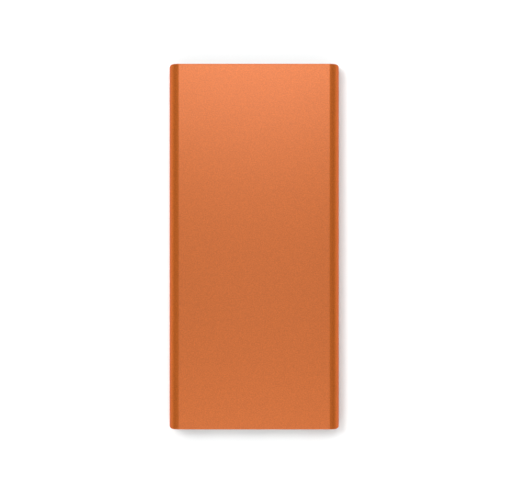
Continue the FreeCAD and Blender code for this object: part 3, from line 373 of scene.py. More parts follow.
def make_port_shell(node):
    """A large socket's folded shell: four sprung fingers, a floor seam, a flared mouth and ears."""
    place = place_of(node)
    ear_reach, ear_height, ear_length = mm(0.8, 0.3, 2.0)
    wall, corner, flare = mm(0.3, 0.6, 0.07)
    finger_x, half_finger, slit, press = mm(2.9, 0.65, 0.3, 0.42)
    mouth, back = place.low.y, place.high.y
    slit_front = mouth + 3.2 * MM
    tip, root = slit_front + slit, slit_front + 6.0 * MM
    low = (place.low.x + ear_reach, place.low.z)
    high = (place.high.x - ear_reach, place.high.z)
    middle = place.middle
    edges = [half_finger + slit, half_finger, half_finger / 2]
    stops = [HALF_SEAM, -HALF_SEAM]
    stops += [side * (finger_x + turn * edge) for side in (1, -1) for turn in (1, -1) for edge in edges]
    stops += [finger_x, -finger_x]
    outline = rounded_outline(low, high, corner, [middle.x + stop for stop in stops])
    steps = 10
    stations = [mouth + offset * MM for offset in (0, 0.12, 0.25, 0.4, 1.2, 2.2, 3.2)]
    stations += [tip + (root - tip) * i / steps for i in range(steps + 1)]
    stations += [root + 2 * MM, back]

    def missing(x, y, z):
        on_flat = abs(z - middle.z) > place.size.z / 2 - 0.01 * MM
        across = abs(abs(x - middle.x) - finger_x)
        beside = half_finger < across < half_finger + slit and slit_front < y < root
        before = across < half_finger and slit_front < y < tip
        seam = abs(x - middle.x) < HALF_SEAM and z < middle.z
        return on_flat and (beside or before or seam)

    def shift(x, y, z):
        side_x, side_z = x - middle.x, z - middle.z
        spread = flare * max(0, 1 - (y - mouth) / (0.4 * MM)) ** 2
        across = abs(abs(side_x) - finger_x)
        along = (root - y) / (root - tip)
        on_flat = abs(side_z) > place.size.z / 2 - 0.01 * MM
        if across <= half_finger * 1.01 and 0 < along <= 1.01 and on_flat:
            bend = sin(pi / 2 * min(1, along / 0.75)) - 0.6 * max(0, along - 0.75) / 0.25
            z -= copysign(press * bend, side_z)
        if abs(side_x) > HALF_SEAM * 1.5:
            x += copysign(spread * min(1, abs(side_x) / (6 * MM)), side_x)
        return x, y, z + copysign(spread, side_z)

    bm = bmesh.new()
    fold_sheet(bm, outline, stations, wall, missing, shift)
    for side in (-1, 1):
        inner = middle.x + side * (place.size.x / 2 - ear_reach - wall * 0.8)
        outer = middle.x + side * place.size.x / 2
        ear = sorted((inner, outer))
        ear_low = middle.z - 1.3 * MM
        corners = (ear[0], root - ear_length, ear_low), (ear[1], root, ear_low + ear_height)
        add_block(bm, *corners, radius=0.06 * MM)
    add_piece(bm, node)


def contact_path(strip, thickness, foot, bow):
    """A contact's path: bowed under the tongue, straight through the moulding, then down to its foot."""
    front, back = strip.low.y, strip.high.y - foot
    level, floor = strip.high.z - thickness / 2, strip.low.z + thickness / 2
    reach = (back - front) * 0.62
    path = []
    steps = 12
    for i in range(steps + 1):
        share = i / steps
        path.append((front + reach * share, level - bow * sin(pi * share) ** 1.5 * (1 - share / 3)))
    bend = thickness * 1.6
    middle = back - thickness / 2
    path += arc((middle - bend, level - bend), bend, 90, 0, 4)
    path += arc((middle + bend, floor + bend), bend, 180, 270, 4)
    path.append((strip.high.y, floor))
    return path


def make_contacts(node, thickness, foot, bow):
    bm = bmesh.new()
    for strip in solids(node):
        add_strip(bm, contact_path(strip, thickness, foot, bow), strip.low.x, strip.high.x, thickness)
    add_piece(bm, node)


def make_port_insulator(node, contacts):
    """A tongue with a groove for each contact, on the block that closes the socket."""
    place = place_of(node)
    block_depth, half_tongue = mm(3.2, 5.55)
    floor, height = place.z + 0.02 * MM, 1.84 * MM
    rib, gap, land, nose = mm(0.18, 0.05, 0.4, 0.35)
    left, right = place.x - half_tongue, place.x + half_tongue
    under = [(left, floor)]
    for strip in solids(contacts):
        start, stop = strip.low.x - gap, strip.high.x + gap
        for first, last in ((start - land, start), (stop, stop + land)):
            under += [(first, floor), (first, floor - rib), (last, floor - rib), (last, floor)]
    edge = 0.25 * MM
    section = under + [(right, floor), (right, floor + height - edge), (right - edge, floor + height)]
    section += [(left + edge, floor + height), (left, floor + height - edge)]
    centre = (place.x, floor + height / 2)
    block_front = place.high.y - block_depth
    rings = []
    for y, scale in ((0, 0.55), (0.04, 0.62), (0.5, 0.86), (1, 1.0)):
        narrow = 1 - (1 - scale) * height / (2 * half_tongue)
        rings.append([(x, place.low.y + y * nose, z) for x, z in drawn_in(section, centre, narrow, scale)])
    rings.append([(x, block_front + 0.3 * MM, z) for x, z in section])
    bm = bmesh.new()
    add_loft(bm, rings)
    low = (place.low.x, block_front, place.low.z)
    add_block(bm, low, place.high, radius=0.28 * MM, segments=3)
    add_piece(bm, node)


def micro_outline(place, inset=0.0):
    """The small socket's section: a rectangle with rounded shoulders and bevelled lower corners."""
    bevel, shoulder = 0.85 * MM - inset * (2 - sqrt(2)), 0.35 * MM
    left, right = place.low.x + inset, place.high.x - inset
    floor, roof = place.low.z + inset, place.high.z - inset
    seam = (place.x - HALF_SEAM, place.x + HALF_SEAM)
    outline = [(x, floor) for x in (left + bevel, *seam, right - bevel)]
    outline.append((right, floor + bevel))
    outline += arc((right - shoulder, roof - shoulder), shoulder, 0, 90, 4)
    outline += arc((left + shoulder, roof - shoulder), shoulder, 90, 180, 4)
    outline.append((left, floor + bevel))
    return outline


def make_micro_shell():
    """The small socket's shell, with a seam in its floor and lips that flare at the mouth."""
    node = "micro_usb_shell"
    place = place_of(node)
    wall, flare, lip = mm(0.25, 0.1, 0.45)
    mouth = place.low.y
    stations = [mouth + lip * i / 4 for i in range(5)] + [place.y, place.high.y]

    def missing(x, y, z):
        return abs(x - place.x) < HALF_SEAM and z < place.z

    def shift(x, y, z):
        spread = flare * max(0, 1 - (y - mouth) / lip) ** 2
        if abs(x - place.x) > 1.5 * HALF_SEAM:
            x += copysign(spread, x - place.x)
        return x, y, z + copysign(spread, z - place.z)

    bm = bmesh.new()
    fold_sheet(bm, micro_outline(place), stations, wall, missing, shift)
    add_piece(bm, node)


def make_micro_insulator():
    node = "micro_usb_insulator"
    place, shell = place_of(node), place_of("micro_usb_shell")
    block_depth, half_tongue, nose = mm(1.4, 1.85, 0.15)
    contacts = place_of("micro_usb_contacts")
    floor, roof = contacts.high.z, contacts.high.z + 0.6 * MM
    front = place.high.y - block_depth
    bm = bmesh.new()
    add_prism(bm, micro_outline(shell, inset=0.26 * MM), front, place.high.y)
    rings = []
    for back, inset in ((0, nose), (0.05 * MM, nose * 0.7), (0.35 * MM, 0)):
        low = (place.x - half_tongue + inset, floor + inset)
        high = (place.x + half_tongue - inset, roof - inset)
        rings.append([(x, place.low.y + back, z) for x, z in rounded_outline(low, high, 0.08 * MM)])
    rings.append([(x, front + 0.2 * MM, z) for x, y, z in rings[-1]])
    add_loft(bm, rings)
    add_piece(bm, node)


# ---- Button and lamps
def facing_out(x, y, z):
    """A place whose own Z points out of the socket end."""
    return Matrix.Translation((x, y, z)) @ Matrix.Rotation(radians(90), 4, "X")


def make_button():
    """The turned button: a dished cap with fine tool rings, a flange that keeps it in, and a stem."""
    node = "power_button"
    place = place_of(node)
    cap, edge, dish, depth = mm(2.2, 0.2, 1.7, 0.12)
    stem, flange, flange_back = 1.0 * MM, place.size.x / 2, 1.7 * MM
    flange_front = flange_back + 0.6 * MM
    top = place.size.y
    soft = 0.06 * MM
    profile = [(0, 0), (stem - 3 * soft, 0), (stem, 3 * soft), (stem, flange_back)]
    profile += [(flange - soft, flange_back), (flange, flange_back + soft)]
    profile += [(flange, flange_front - soft), (flange - soft, flange_front)]
    profile += [(cap + soft, flange_front), (cap, flange_front + soft)]
    profile += arc((cap - edge, top - edge), edge, 0, 90, 6)
    rings = 34
    for i in range(rings):
        radius = dish * (1 - i / rings)
        level = top - depth * (1 - (radius / dish) ** 2)
        profile.append((radius, level - 0.006 * MM * (i % 2)))
    profile.append((0, top - depth))
    bm = bmesh.new()
    add_turned(bm, facing_out(*place.back), profile, angles=96)
    add_piece(bm, node, sharp=50)


def make_dome():
    """The snap dome: a thin cap with a dimple in its crown."""
    node = "switch_dome"
    place = place_of(node)
    radius, sheet, dimple = place.size.x / 2, 0.08 * MM, 0.03 * MM
    crown = place.size.y - sheet
    steps = 16
    under = []
    for i in range(steps + 1):
        share = i / steps
        dip = dimple * max(0, 1 - (share / 0.35) ** 2) ** 2
        under.append((radius * share, crown * (1 - share**2) - dip))
    over = [(reach, level + sheet) for reach, level in reversed(under)]
    bm = bmesh.new()
    add_turned(bm, facing_out(*place.back), under + over)
    piece = add_piece(bm, node)
    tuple(place.back)
    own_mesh(piece)


def make_light_guide():
    """A clear bar behind the fascia, with a rod that ends in a low dome for each lamp."""
    node = "light_guide"
    place = place_of(node)
    radius, dome, bar_depth = mm(0.7, 0.12, 0.9)
    bar_front = place.high.y - bar_depth
    length = bar_front - place.low.y
    bm = bmesh.new()
    add_block(bm, (place.low.x, bar_front, place.low.z), place.high, radius=0.15 * MM, segments=3)
    profile = [(0, -0.1 * MM), (radius, -0.1 * MM), (radius, length - dome)]
    for i in range(1, 6):
        angle = radians(90 * i / 6)
        profile.append((radius * cos(angle) ** 0.7, length - dome + dome * sin(angle)))
    profile.append((0, length))
    for lamp in solids("indicator_leds"):
        add_turned(bm, facing_out(lamp.x, bar_front, MIDDLE.z), profile, angles=32)
    add_piece(bm, node)


def make_leds():
    """Side-firing lamps: a moulded body with a domed window that faces the guide."""
    node = "indicator_leds"
    bm = bmesh.new()
    for lamp in solids(node):
        front = lamp.low.y + 0.12 * MM
        add_block(bm, (lamp.low.x, front, lamp.low.z), lamp.high, radius=0.04 * MM)
        window = ((0, -0.1), (0.3, -0.1), (0.3, 0.02), (0.24, 0.08), (0.14, 0.11), (0, 0.12))
        window = [mm(*point) for point in window]
        add_turned(bm, facing_out(lamp.x, front, lamp.z), window, angles=24)
    add_piece(bm, node)


# ---- Screws
def cross_angles():
    """Angles round a screw head, with one at each corner of its cross recess."""
    corner = degrees(atan2(CROSS_WIDTH, CROSS_ARM))
    offsets = (-45, -38, -28, -corner, -corner / 2, 0, corner / 2, corner, 28, 38)
    return [radians(90 * quarter + offset) for quarter in range(4) for offset in offsets]


def cross_radius(scale):
    """How far the cross recess reaches at an angle."""
    def reach(angle):
        long, short = sorted((abs(cos(angle)), abs(sin(angle))), reverse=True)
        return scale * min(CROSS_ARM / long, CROSS_WIDTH / max(short, 1e-6))
    return reach


def add_screw(bm, place, radius, height, shank, length, pitch=0.5 * MM):
    """A pan-headed screw whose seat is at the place's origin and whose head points along its Z."""
    recess = 0.4 * MM
    profile = [(0, 0), (radius * 0.96, 0), (radius, height * 0.1), (radius, height * 0.4)]
    profile += [(radius * 0.96, height * 0.68), (radius * 0.86, height * 0.9), (radius * 0.74, height)]
    profile += [(cross_radius(1.0), height), (cross_radius(0.86), height - recess), (0, height - recess)]
    add_turned(bm, place, profile, angles=cross_angles())
    around, per_turn = 24, 8
    count = int(length / pitch * per_turn)
    rings = []
    for i in range(count + 1):
        depth = length * i / count
        taper = min(1, 0.06 + (length - depth) / (2 * shank))
        points = []
        for k in range(around):
            phase = (depth / pitch + k / around) % 1
            reach = shank * taper * (0.78 + 0.22 * abs(2 * phase - 1))
            angle = -2 * pi * k / around
            points.append(place @ Vector((reach * cos(angle), reach * sin(angle), -depth)))
        rings.append(points)
    add_loft(bm, rings)


def make_screws(node, axis, tilt, height, shank):
    """A node's screws along an axis, 1 for Y and 2 for Z; tilt turns them about X, in degrees from +Z."""
    bm = bmesh.new()
    for screw in solids(node):
        seat = screw.middle.copy()
        seat[axis] = screw.low[axis] + height if tilt > 0 else screw.high[axis] - height
        place = Matrix.Translation(seat) @ Matrix.Rotation(radians(tilt), 4, "X")
        add_screw(bm, place, screw.size.x / 2, height, shank, screw.size[axis] - height)
    add_piece(bm, node)


# ---- Components on the boards
def make_two_ended(node, along, end_share):
    """Chips with a metal cap on each end; along is the axis that they lie on, 0 for X and 1 for Y."""
    bodies, ends = bmesh.new(), bmesh.new()
    for chip in solids(node):
        length = chip.size[along] * end_share
        inset = Vector((0.04, 0.04, 0.04)) * MM
        inset[along] = length / 2
        add_block(bodies, chip.low + inset, chip.high - inset)
        near_end, far_end = chip.high.copy(), chip.low.copy()
        near_end[along] = chip.low[along] + length
        far_end[along] = chip.high[along] - length
        for low, high in ((chip.low, near_end), (far_end, chip.high)):
            add_block(ends, low, high, radius=0.08 * MM, segments=3)
    add_piece(bodies, node, "bodies")
    add_piece(ends, node, "ends", slot="solder")


def make_leaded(node, per_side, lead_width, lead_reach):
    """Chips in resin with drafted sides, a dot at the first lead, and leads front and back."""
    bodies, leads = bmesh.new(), bmesh.new()
    for chip in solids(node):
        slope, stand = mm(0.12, 0.08)
        waist = chip.low.z + chip.size.z * 0.45
        levels = ((chip.low.z + stand, slope), (waist, 0), (chip.high.z, slope * 1.3))
        rings = []
        for z, inset in levels:
            left, right = chip.low.x + inset, chip.high.x - inset
            front, back = chip.low.y + lead_reach + inset, chip.high.y - lead_reach - inset
            rings.append([(left, front, z), (right, front, z), (right, back, z), (left, back, z)])
        add_loft(bodies, rings)
        dot = Matrix.Translation((chip.low.x + 0.6 * MM, chip.low.y + lead_reach + 0.6 * MM, chip.high.z))
        sunk, proud = mm(-0.05, 0.012)
        add_turned(bodies, dot, [(0, sunk), (0.2 * MM, sunk), (0.17 * MM, proud), (0, proud)], 20)
        gap = chip.size.x / per_side
        metal = 0.12 * MM
        for i in range(per_side):
            x = chip.low.x + gap * (i + 0.5)
            for edge, out in ((chip.low.y, -1), (chip.high.y, 1)):
                body_edge = edge - out * lead_reach
                foot = chip.low.z + metal / 2
                path = [(body_edge - out * 0.2 * MM, waist), (body_edge + out * lead_reach * 0.25, waist)]
                path += [(body_edge + out * lead_reach * 0.5, foot), (edge, foot)]
                add_strip(leads, path, x - lead_width / 2, x + lead_width / 2, metal)
    add_piece(bodies, node, "bodies", sharp=25)
    add_piece(leads, node, "leads", slot="solder")


def make_inductor():
    """A wound core: a plate at the foot and the top, the coil between them, and two soldered ends."""
    node = "power_inductor"
    place = place_of(node)
    corner, plate, edge = mm(0.7, 0.55, 0.08)
    outline = rounded_outline(place.low.xy, place.high.xy, corner)
    core = bmesh.new()
    for low_z in (place.low.z, place.high.z - plate):
        rings = []
        levels = (low_z, low_z + edge, low_z + plate - edge, low_z + plate)
        for z, share in zip(levels, (0.985, 1, 1, 0.985)):
            rings.append([(x, y, z) for x, y in drawn_in(outline, place.middle.xy, share, share)])
        add_loft(core, rings)
    post, half_post = mm(1.2, 0.8)
    middle = Matrix.Translation(place.middle)
    add_turned(core, middle, [(0, -half_post), (post, -half_post), (post, half_post), (0, half_post)])
    coil = bmesh.new()
    wire, turns, coil_radius = 0.24 * MM, 5, 2.55 * MM
    add_turned(coil, middle, coil_profile(coil_radius, wire, turns), angles=64)
    ends = bmesh.new()
    for side in (-1, 1):
        x = place.x + side * place.size.x / 2
        low, high = sorted((x, x - side * 1.1 * MM))
        corners = (low, place.y - 1.6 * MM, place.low.z - 0.01 * MM)
        add_block(ends, corners, (high, place.y + 1.6 * MM, place.low.z + 0.5 * MM))
    add_piece(core, node, "core")
    add_piece(coil, node, "coil", slot="contact_metal")
    add_piece(ends, node, "ends", slot="solder")


def coil_profile(radius, wire, turns):
    """The outside of a coil of several turns, wound one above the next."""
    half = wire * turns
    profile = [(radius - 2 * wire, -half)]
    for i in range(turns):
        level = -half + wire * (2 * i + 1)
        profile += arc((radius - wire, level), wire, -80, 80, 6)
    profile.append((radius - 2 * wire, half))
    return [(0, -half), *profile, (0, half)]


# ---- Cell
def pouch_section(y, end_share, place, top):
    """The pouch's section: flat where it lies, slightly crowned above, and pulled in near its ends."""
    edge, seam_room, taper = mm(1.6, 0.35, 1.2)
    half = place.size.x / 2 - seam_room - taper * (1 - end_share)
    floor, roof = place.low.z, place.low.z + (top - place.low.z) * (0.35 + 0.65 * end_share)
    radius = min(edge, (roof - floor) / 2.05)
    stops = [place.x + half * 0.9 * i / 14 for i in range(-14, 15)]
    section = rounded_outline((place.x - half, floor), (place.x + half, roof), radius, stops, 6)
    points = []
    for x, z in section:
        across = (x - place.x) / half
        height = (z - floor) / (roof - floor)
        sag = 0.07 * MM * across**2 * height
        ripple = 0.03 * MM * sin(across * 31 + y * 900) * (1 - end_share) * height
        points.append((x, y, z - sag + ripple))
    return points


def make_pouch():
    """The foil pouch: a drawn cup, two side seams folded up, and the crimped terrace."""
    node = "pouch_cell"
    place = place_of(node)
    terrace, reach, set_back = mm(0.3, 2.5, 3.4)
    front, back = place.low.y + set_back, place.high.y
    end_length = 2.6 * MM
    rings = []
    steps, runs = 9, 26
    offsets = [end_length * (1 - cos(pi / 2 * i / steps)) for i in range(steps)]
    middle_run = [end_length + (back - front - 2 * end_length) * i / runs for i in range(runs + 1)]
    for offset in offsets + middle_run + [back - front - offset for offset in reversed(offsets)]:
        near = min(1, min(offset, back - front - offset) / end_length)
        share = sqrt(1 - (1 - near) ** 2)
        rings.append(pouch_section(front + offset, share, place, place.high.z))
    bm = bmesh.new()
    add_loft(bm, rings)
    for side in (-1, 1):
        add_seam(bm, place, side, front + end_length, back - end_length)
    add_terrace(bm, place, place.low.y, front + reach * 0.5, terrace)
    add_piece(bm, node, sharp=50)


def add_seam(bm, place, side, front, back):
    """A side seam, folded up against the pouch, with a slight wave along its free edge."""
    outer = place.x + side * place.size.x / 2
    thickness, height, count = 0.16 * MM, 5.0 * MM, 90
    rings = []
    for i in range(count + 1):
        y = front + (back - front) * i / count
        wave = 0.03 * MM * sin(i * 0.9) + 0.02 * MM * sin(i * 2.3)
        top = place.low.z + height + 2 * wave
        lean = side * (0.05 * MM + wave)
        foot = place.low.z + 0.12 * MM
        edge = outer - side * max(0, side * lean)
        rings.append([(outer, y, foot), (edge, y, top),
                      (outer - side * thickness - lean, y, top), (outer - side * thickness * 2.2, y, foot)])
    add_loft(bm, rings)


def add_terrace(bm, place, front, back, thickness):
    """The flat end seam that the tabs come out of, pressed into fine ribs across it."""
    half, ribs, steps = 26.7 * MM, 9, 72
    rings = []
    for i in range(steps + 1):
        share = i / steps
        y = front + (back - front) * share
        rib = 0.035 * MM * (1 - abs(2 * ((share * ribs) % 1) - 1))
        low, high = place.low.z, place.low.z + thickness - rib
        narrow = half if share > 0.03 else half - 0.15 * MM
        x = [place.x + narrow * k / 12 for k in range(-12, 13)]
        rings.append([(value, y, low) for value in x] + [(value, y, high) for value in reversed(x)])
    add_loft(bm, rings)


def make_foam(node):
    """Foam blocks that bulge at their sides, pressed between two faces."""
    bm = bmesh.new()
    for pad in solids(node):
        thin = min(range(3), key=lambda axis: pad.size[axis])
        flats = [axis for axis in range(3) if axis != thin]
        bulge = min(pad.size[thin] * 0.3, 0.3 * MM)
        steps = 8
        rings = []
        for i in range(steps + 1):
            turn = pi * i / steps
            level = pad.middle[thin] - pad.size[thin] / 2 * cos(turn)
            inset = bulge * (1 - sin(turn))
            low = [pad.low[axis] + inset for axis in flats]
            high = [pad.high[axis] - inset for axis in flats]
            radius = 1.2 * MM if min(high[0] - low[0], high[1] - low[1]) > 3 * MM else 0.4 * MM
            outline = rounded_outline(low, high, radius, steps=5)
            rings.append([(*flat[:thin], level, *flat[thin:]) for flat in outline])
        add_loft(bm, rings)
    piece = add_piece(bm, node, sharp=60)


# ---- Materials
class Shading:
    """The nodes of a material or a world, with a short way to add and link them."""

    def __init__(self, owner):
        owner.use_nodes = True
        self.tree = owner.node_tree

    def node(self, kind, **settings):
        """A new node. A setting is a property of it, or the constant or the source of a socket."""
        made = self.tree.nodes.new(kind)
        for key, value in settings.items():
            socket = made.inputs.get(key.replace("_", " "))
            if socket is None:
                setattr(made, key, value)
            elif isinstance(value, bpy.types.NodeSocket):
                self.link(value, socket)
            else:
                socket.default_value = value
        return made

    def link(self, output, target):
        self.tree.links.new(output, target)

    def ramp(self, factor, stops):
        """Colours at positions along a factor from 0 to 1."""
        made = self.node("ShaderNodeValToRGB", Fac=factor)
        points = made.color_ramp.elements
        while len(points) < len(stops):
            points.new(0.5)
        for point, (position, colour) in zip(points, stops):
            point.position, point.color = position, (*colour, 1)
        return made.outputs["Color"]

    def span(self, value, low, high, start=0.0, stop=1.0):
        """A number that runs from low to high as a value runs from start to stop."""
        limits = {"From_Min": start, "From_Max": stop, "To_Min": low, "To_Max": high}
        return self.node("ShaderNodeMapRange", Value=value, **limits).outputs["Result"]

    def product(self, first, second):
        made = self.node("ShaderNodeMath", operation="MULTIPLY")
        self.link(first, made.inputs[0])
        self.link(second, made.inputs[1])
        return made.outputs[0]


class Look(Shading):
    """A Principled material: constants set on its shader, and the nodes that vary it."""

    def __init__(self, name, **constants):
        self.material = bpy.data.materials.new(name + "_look")
        super().__init__(self.material)
        self.shader = self.tree.nodes["Principled BSDF"]
        self.place = self.node("ShaderNodeTexCoord").outputs["Object"]
        self.normal = None
        for socket, value in constants.items():
            self.shader.inputs[socket.replace("_", " ")].default_value = value

    def moved(self, scale=(1, 1, 1), location=(0, 0, 0)):
        mapping = self.node("ShaderNodeMapping", Vector=self.place, Scale=scale, Location=location)
        return mapping.outputs["Vector"]

    def noise(self, size, detail=3.0, stretch=(1, 1, 1)):
        """Noise whose grains are about a size across, in millimetres."""
        place = self.moved(stretch)
        texture = self.node("ShaderNodeTexNoise", Vector=place, Scale=1 / (size * MM), Detail=detail)
        return texture.outputs["Fac"]

    def cells(self, size):
        """Rounded cells of a size in millimetres, 0 at their middles."""
        return self.node("ShaderNodeTexVoronoi", Vector=self.place, Scale=1 / (size * MM)).outputs["Distance"]

    def rings(self, spacing, centre):
        """Rings about a line along Y through a centre."""
        texture = self.node("ShaderNodeTexWave", wave_type="RINGS", rings_direction="Y",
                            Vector=self.moved(location=-centre), Scale=0.3 / (spacing * MM))
        return texture.outputs["Fac"]

    def tracks(self, size):
        """A pattern of straight copper tracks, 1 on a track."""
        texture = self.node("ShaderNodeTexBrick", Vector=self.place, Scale=1 / (size * MM), offset=0.37,
                            squash=0.55, squash_frequency=3, Mortar_Size=0.016, Mortar_Smooth=0.2,
                            Brick_Width=2.7, Row_Height=0.16)
        return texture.outputs["Fac"]

    def colours(self, factor, dark, light, low=0.3, high=0.7):
        """Base colour that runs between two colours as a factor runs from low to high."""
        self.link(self.ramp(factor, ((low, dark), (high, light))), self.shader.inputs["Base Color"])

    def rough(self, factor, low, high):
        self.link(self.span(factor, low, high, 0.3, 0.7), self.shader.inputs["Roughness"])

    def coat_facing(self, straight=0.85, aslant=0.28):
        """A coat whose gloss fades as the surface turns away, as a rough oxide layer's does."""
        facing = self.node("ShaderNodeLayerWeight", Blend=0.5).outputs["Facing"]
        self.link(self.span(facing, straight, aslant, stop=0.07), self.shader.inputs["Coat Weight"])

    def bump(self, height, depth):
        """Relief of a depth in millimetres, on top of any that is there already."""
        relief = self.node("ShaderNodeBump", Distance=depth * MM, Height=height)
        if self.normal:
            self.link(self.normal, relief.inputs["Normal"])
        self.normal = relief.outputs["Normal"]
        self.link(self.normal, self.shader.inputs["Normal"])


def dyed(name, gloss, grain, dark, light, rough):
    """Aluminium under a dyed oxide layer; gloss is the roughness of that layer's surface."""
    look = Look(name, Metallic=1.0, Coat_Roughness=gloss, Coat_IOR=1.6, Specular_Tint=EDGE_TINT)
    look.coat_facing()
    look.colours(look.noise(grain, detail=4.0), dark, light)
    look.rough(look.noise(0.25), *rough)
    return look


def anodised(name):
    """Dyed aluminium that was bead-blasted first."""
    look = dyed(name, 0.3, 0.45, (0.52, 0.117, 0.010), (0.67, 0.157, 0.017), (0.42, 0.54))
    look.bump(look.noise(0.22, detail=4.0), 0.0165)
    return look


def turned(name):
    """Dyed aluminium with the fine rings of a lathe tool."""
    look = dyed(name, 0.2, 0.3, (0.56, 0.118, 0.012), (0.66, 0.148, 0.018), (0.30, 0.40))
    look.bump(look.rings(0.06, place_of("power_button").middle), 0.003)
    look.bump(look.noise(0.1), 0.002)
    return look


def moulded(name, dark, light, rough, grain, relief, flow=5, **constants):
    """Moulded plastic or resin: faint flow marks in its colour, and the mould's texture on its skin."""
    look = Look(name, **constants)
    look.colours(look.noise(flow, detail=5.0), dark, light)
    look.rough(look.noise(grain * 4), *rough)
    look.bump(look.noise(grain, detail=4.0), relief)
    return look


def metal(name, dark, light, rough, grain, relief, stretch=(1, 1, 1)):
    """Bare metal; a stretch makes its grain the lines that rolling or drawing leaves."""
    look = Look(name, Metallic=1.0)
    lines = look.noise(grain, stretch=stretch)
    look.colours(look.noise(grain * 3, stretch=stretch), dark, light)
    look.rough(lines, *rough)
    look.bump(lines, relief)
    return look


def board_mask(name):
    """Solder mask over copper tracks, which show as lighter, slightly raised lines."""
    look = Look(name, Coat_Weight=0.6, Coat_Roughness=0.12)
    tracks = look.tracks(2.4)
    look.colours(tracks, (0.004, 0.045, 0.018), (0.010, 0.110, 0.040), low=0.1, high=0.9)
    look.rough(look.noise(0.5), 0.28, 0.4)
    look.bump(tracks, 0.02)
    look.bump(look.noise(0.15), 0.002)
    return look


def speckled(name, dark, light, rough, size, relief, **constants):
    """A pressed or granular material whose grains can be told apart."""
    look = Look(name, **constants)
    grains = look.cells(size)
    look.colours(grains, dark, light, low=0.15, high=0.75)
    look.rough(look.noise(size * 2), *rough)
    look.bump(grains, relief)
    return look


def foil(name):
    """Satin laminate foil, creased by drawing and handling."""
    look = Look(name, Metallic=0.9, Coat_Weight=0.25, Coat_Roughness=0.25)
    look.colours(look.noise(9, detail=4.0), (0.44, 0.45, 0.47), (0.52, 0.53, 0.56))
    look.rough(look.noise(2.5, detail=5.0), 0.3, 0.44)
    look.bump(look.noise(6, detail=6.0), 0.12)
    look.bump(look.noise(0.25), 0.006)
    return look


def frosted(name, dark, light, rough, **constants):
    """Clear or tinted plastic with a fine haze."""
    look = Look(name, IOR=1.49, **constants)
    look.colours(look.noise(1.5), dark, light)
    look.rough(look.noise(0.3), *rough)
    look.bump(look.noise(0.3), 0.002)
    return look


def rubber(name, dark, light):
    """Silicone rubber: soft sheen, a drawn surface and a little dust."""
    look = Look(name, Sheen_Weight=0.25, Sheen_Roughness=0.4)
    look.colours(look.noise(1.2, detail=5.0), dark, light)
    look.rough(look.noise(0.5), 0.42, 0.58)
    look.bump(look.noise(0.2, stretch=(1, 0.15, 1)), 0.006)
    return look


DRAWN = (1, 0.04, 1)
BLACK, SOFT_BLACK = (0.01, 0.01, 0.011), (0.018, 0.018, 0.02)
CLEAR = (0.92, 0.95, 0.97), (0.97, 0.98, 0.98)
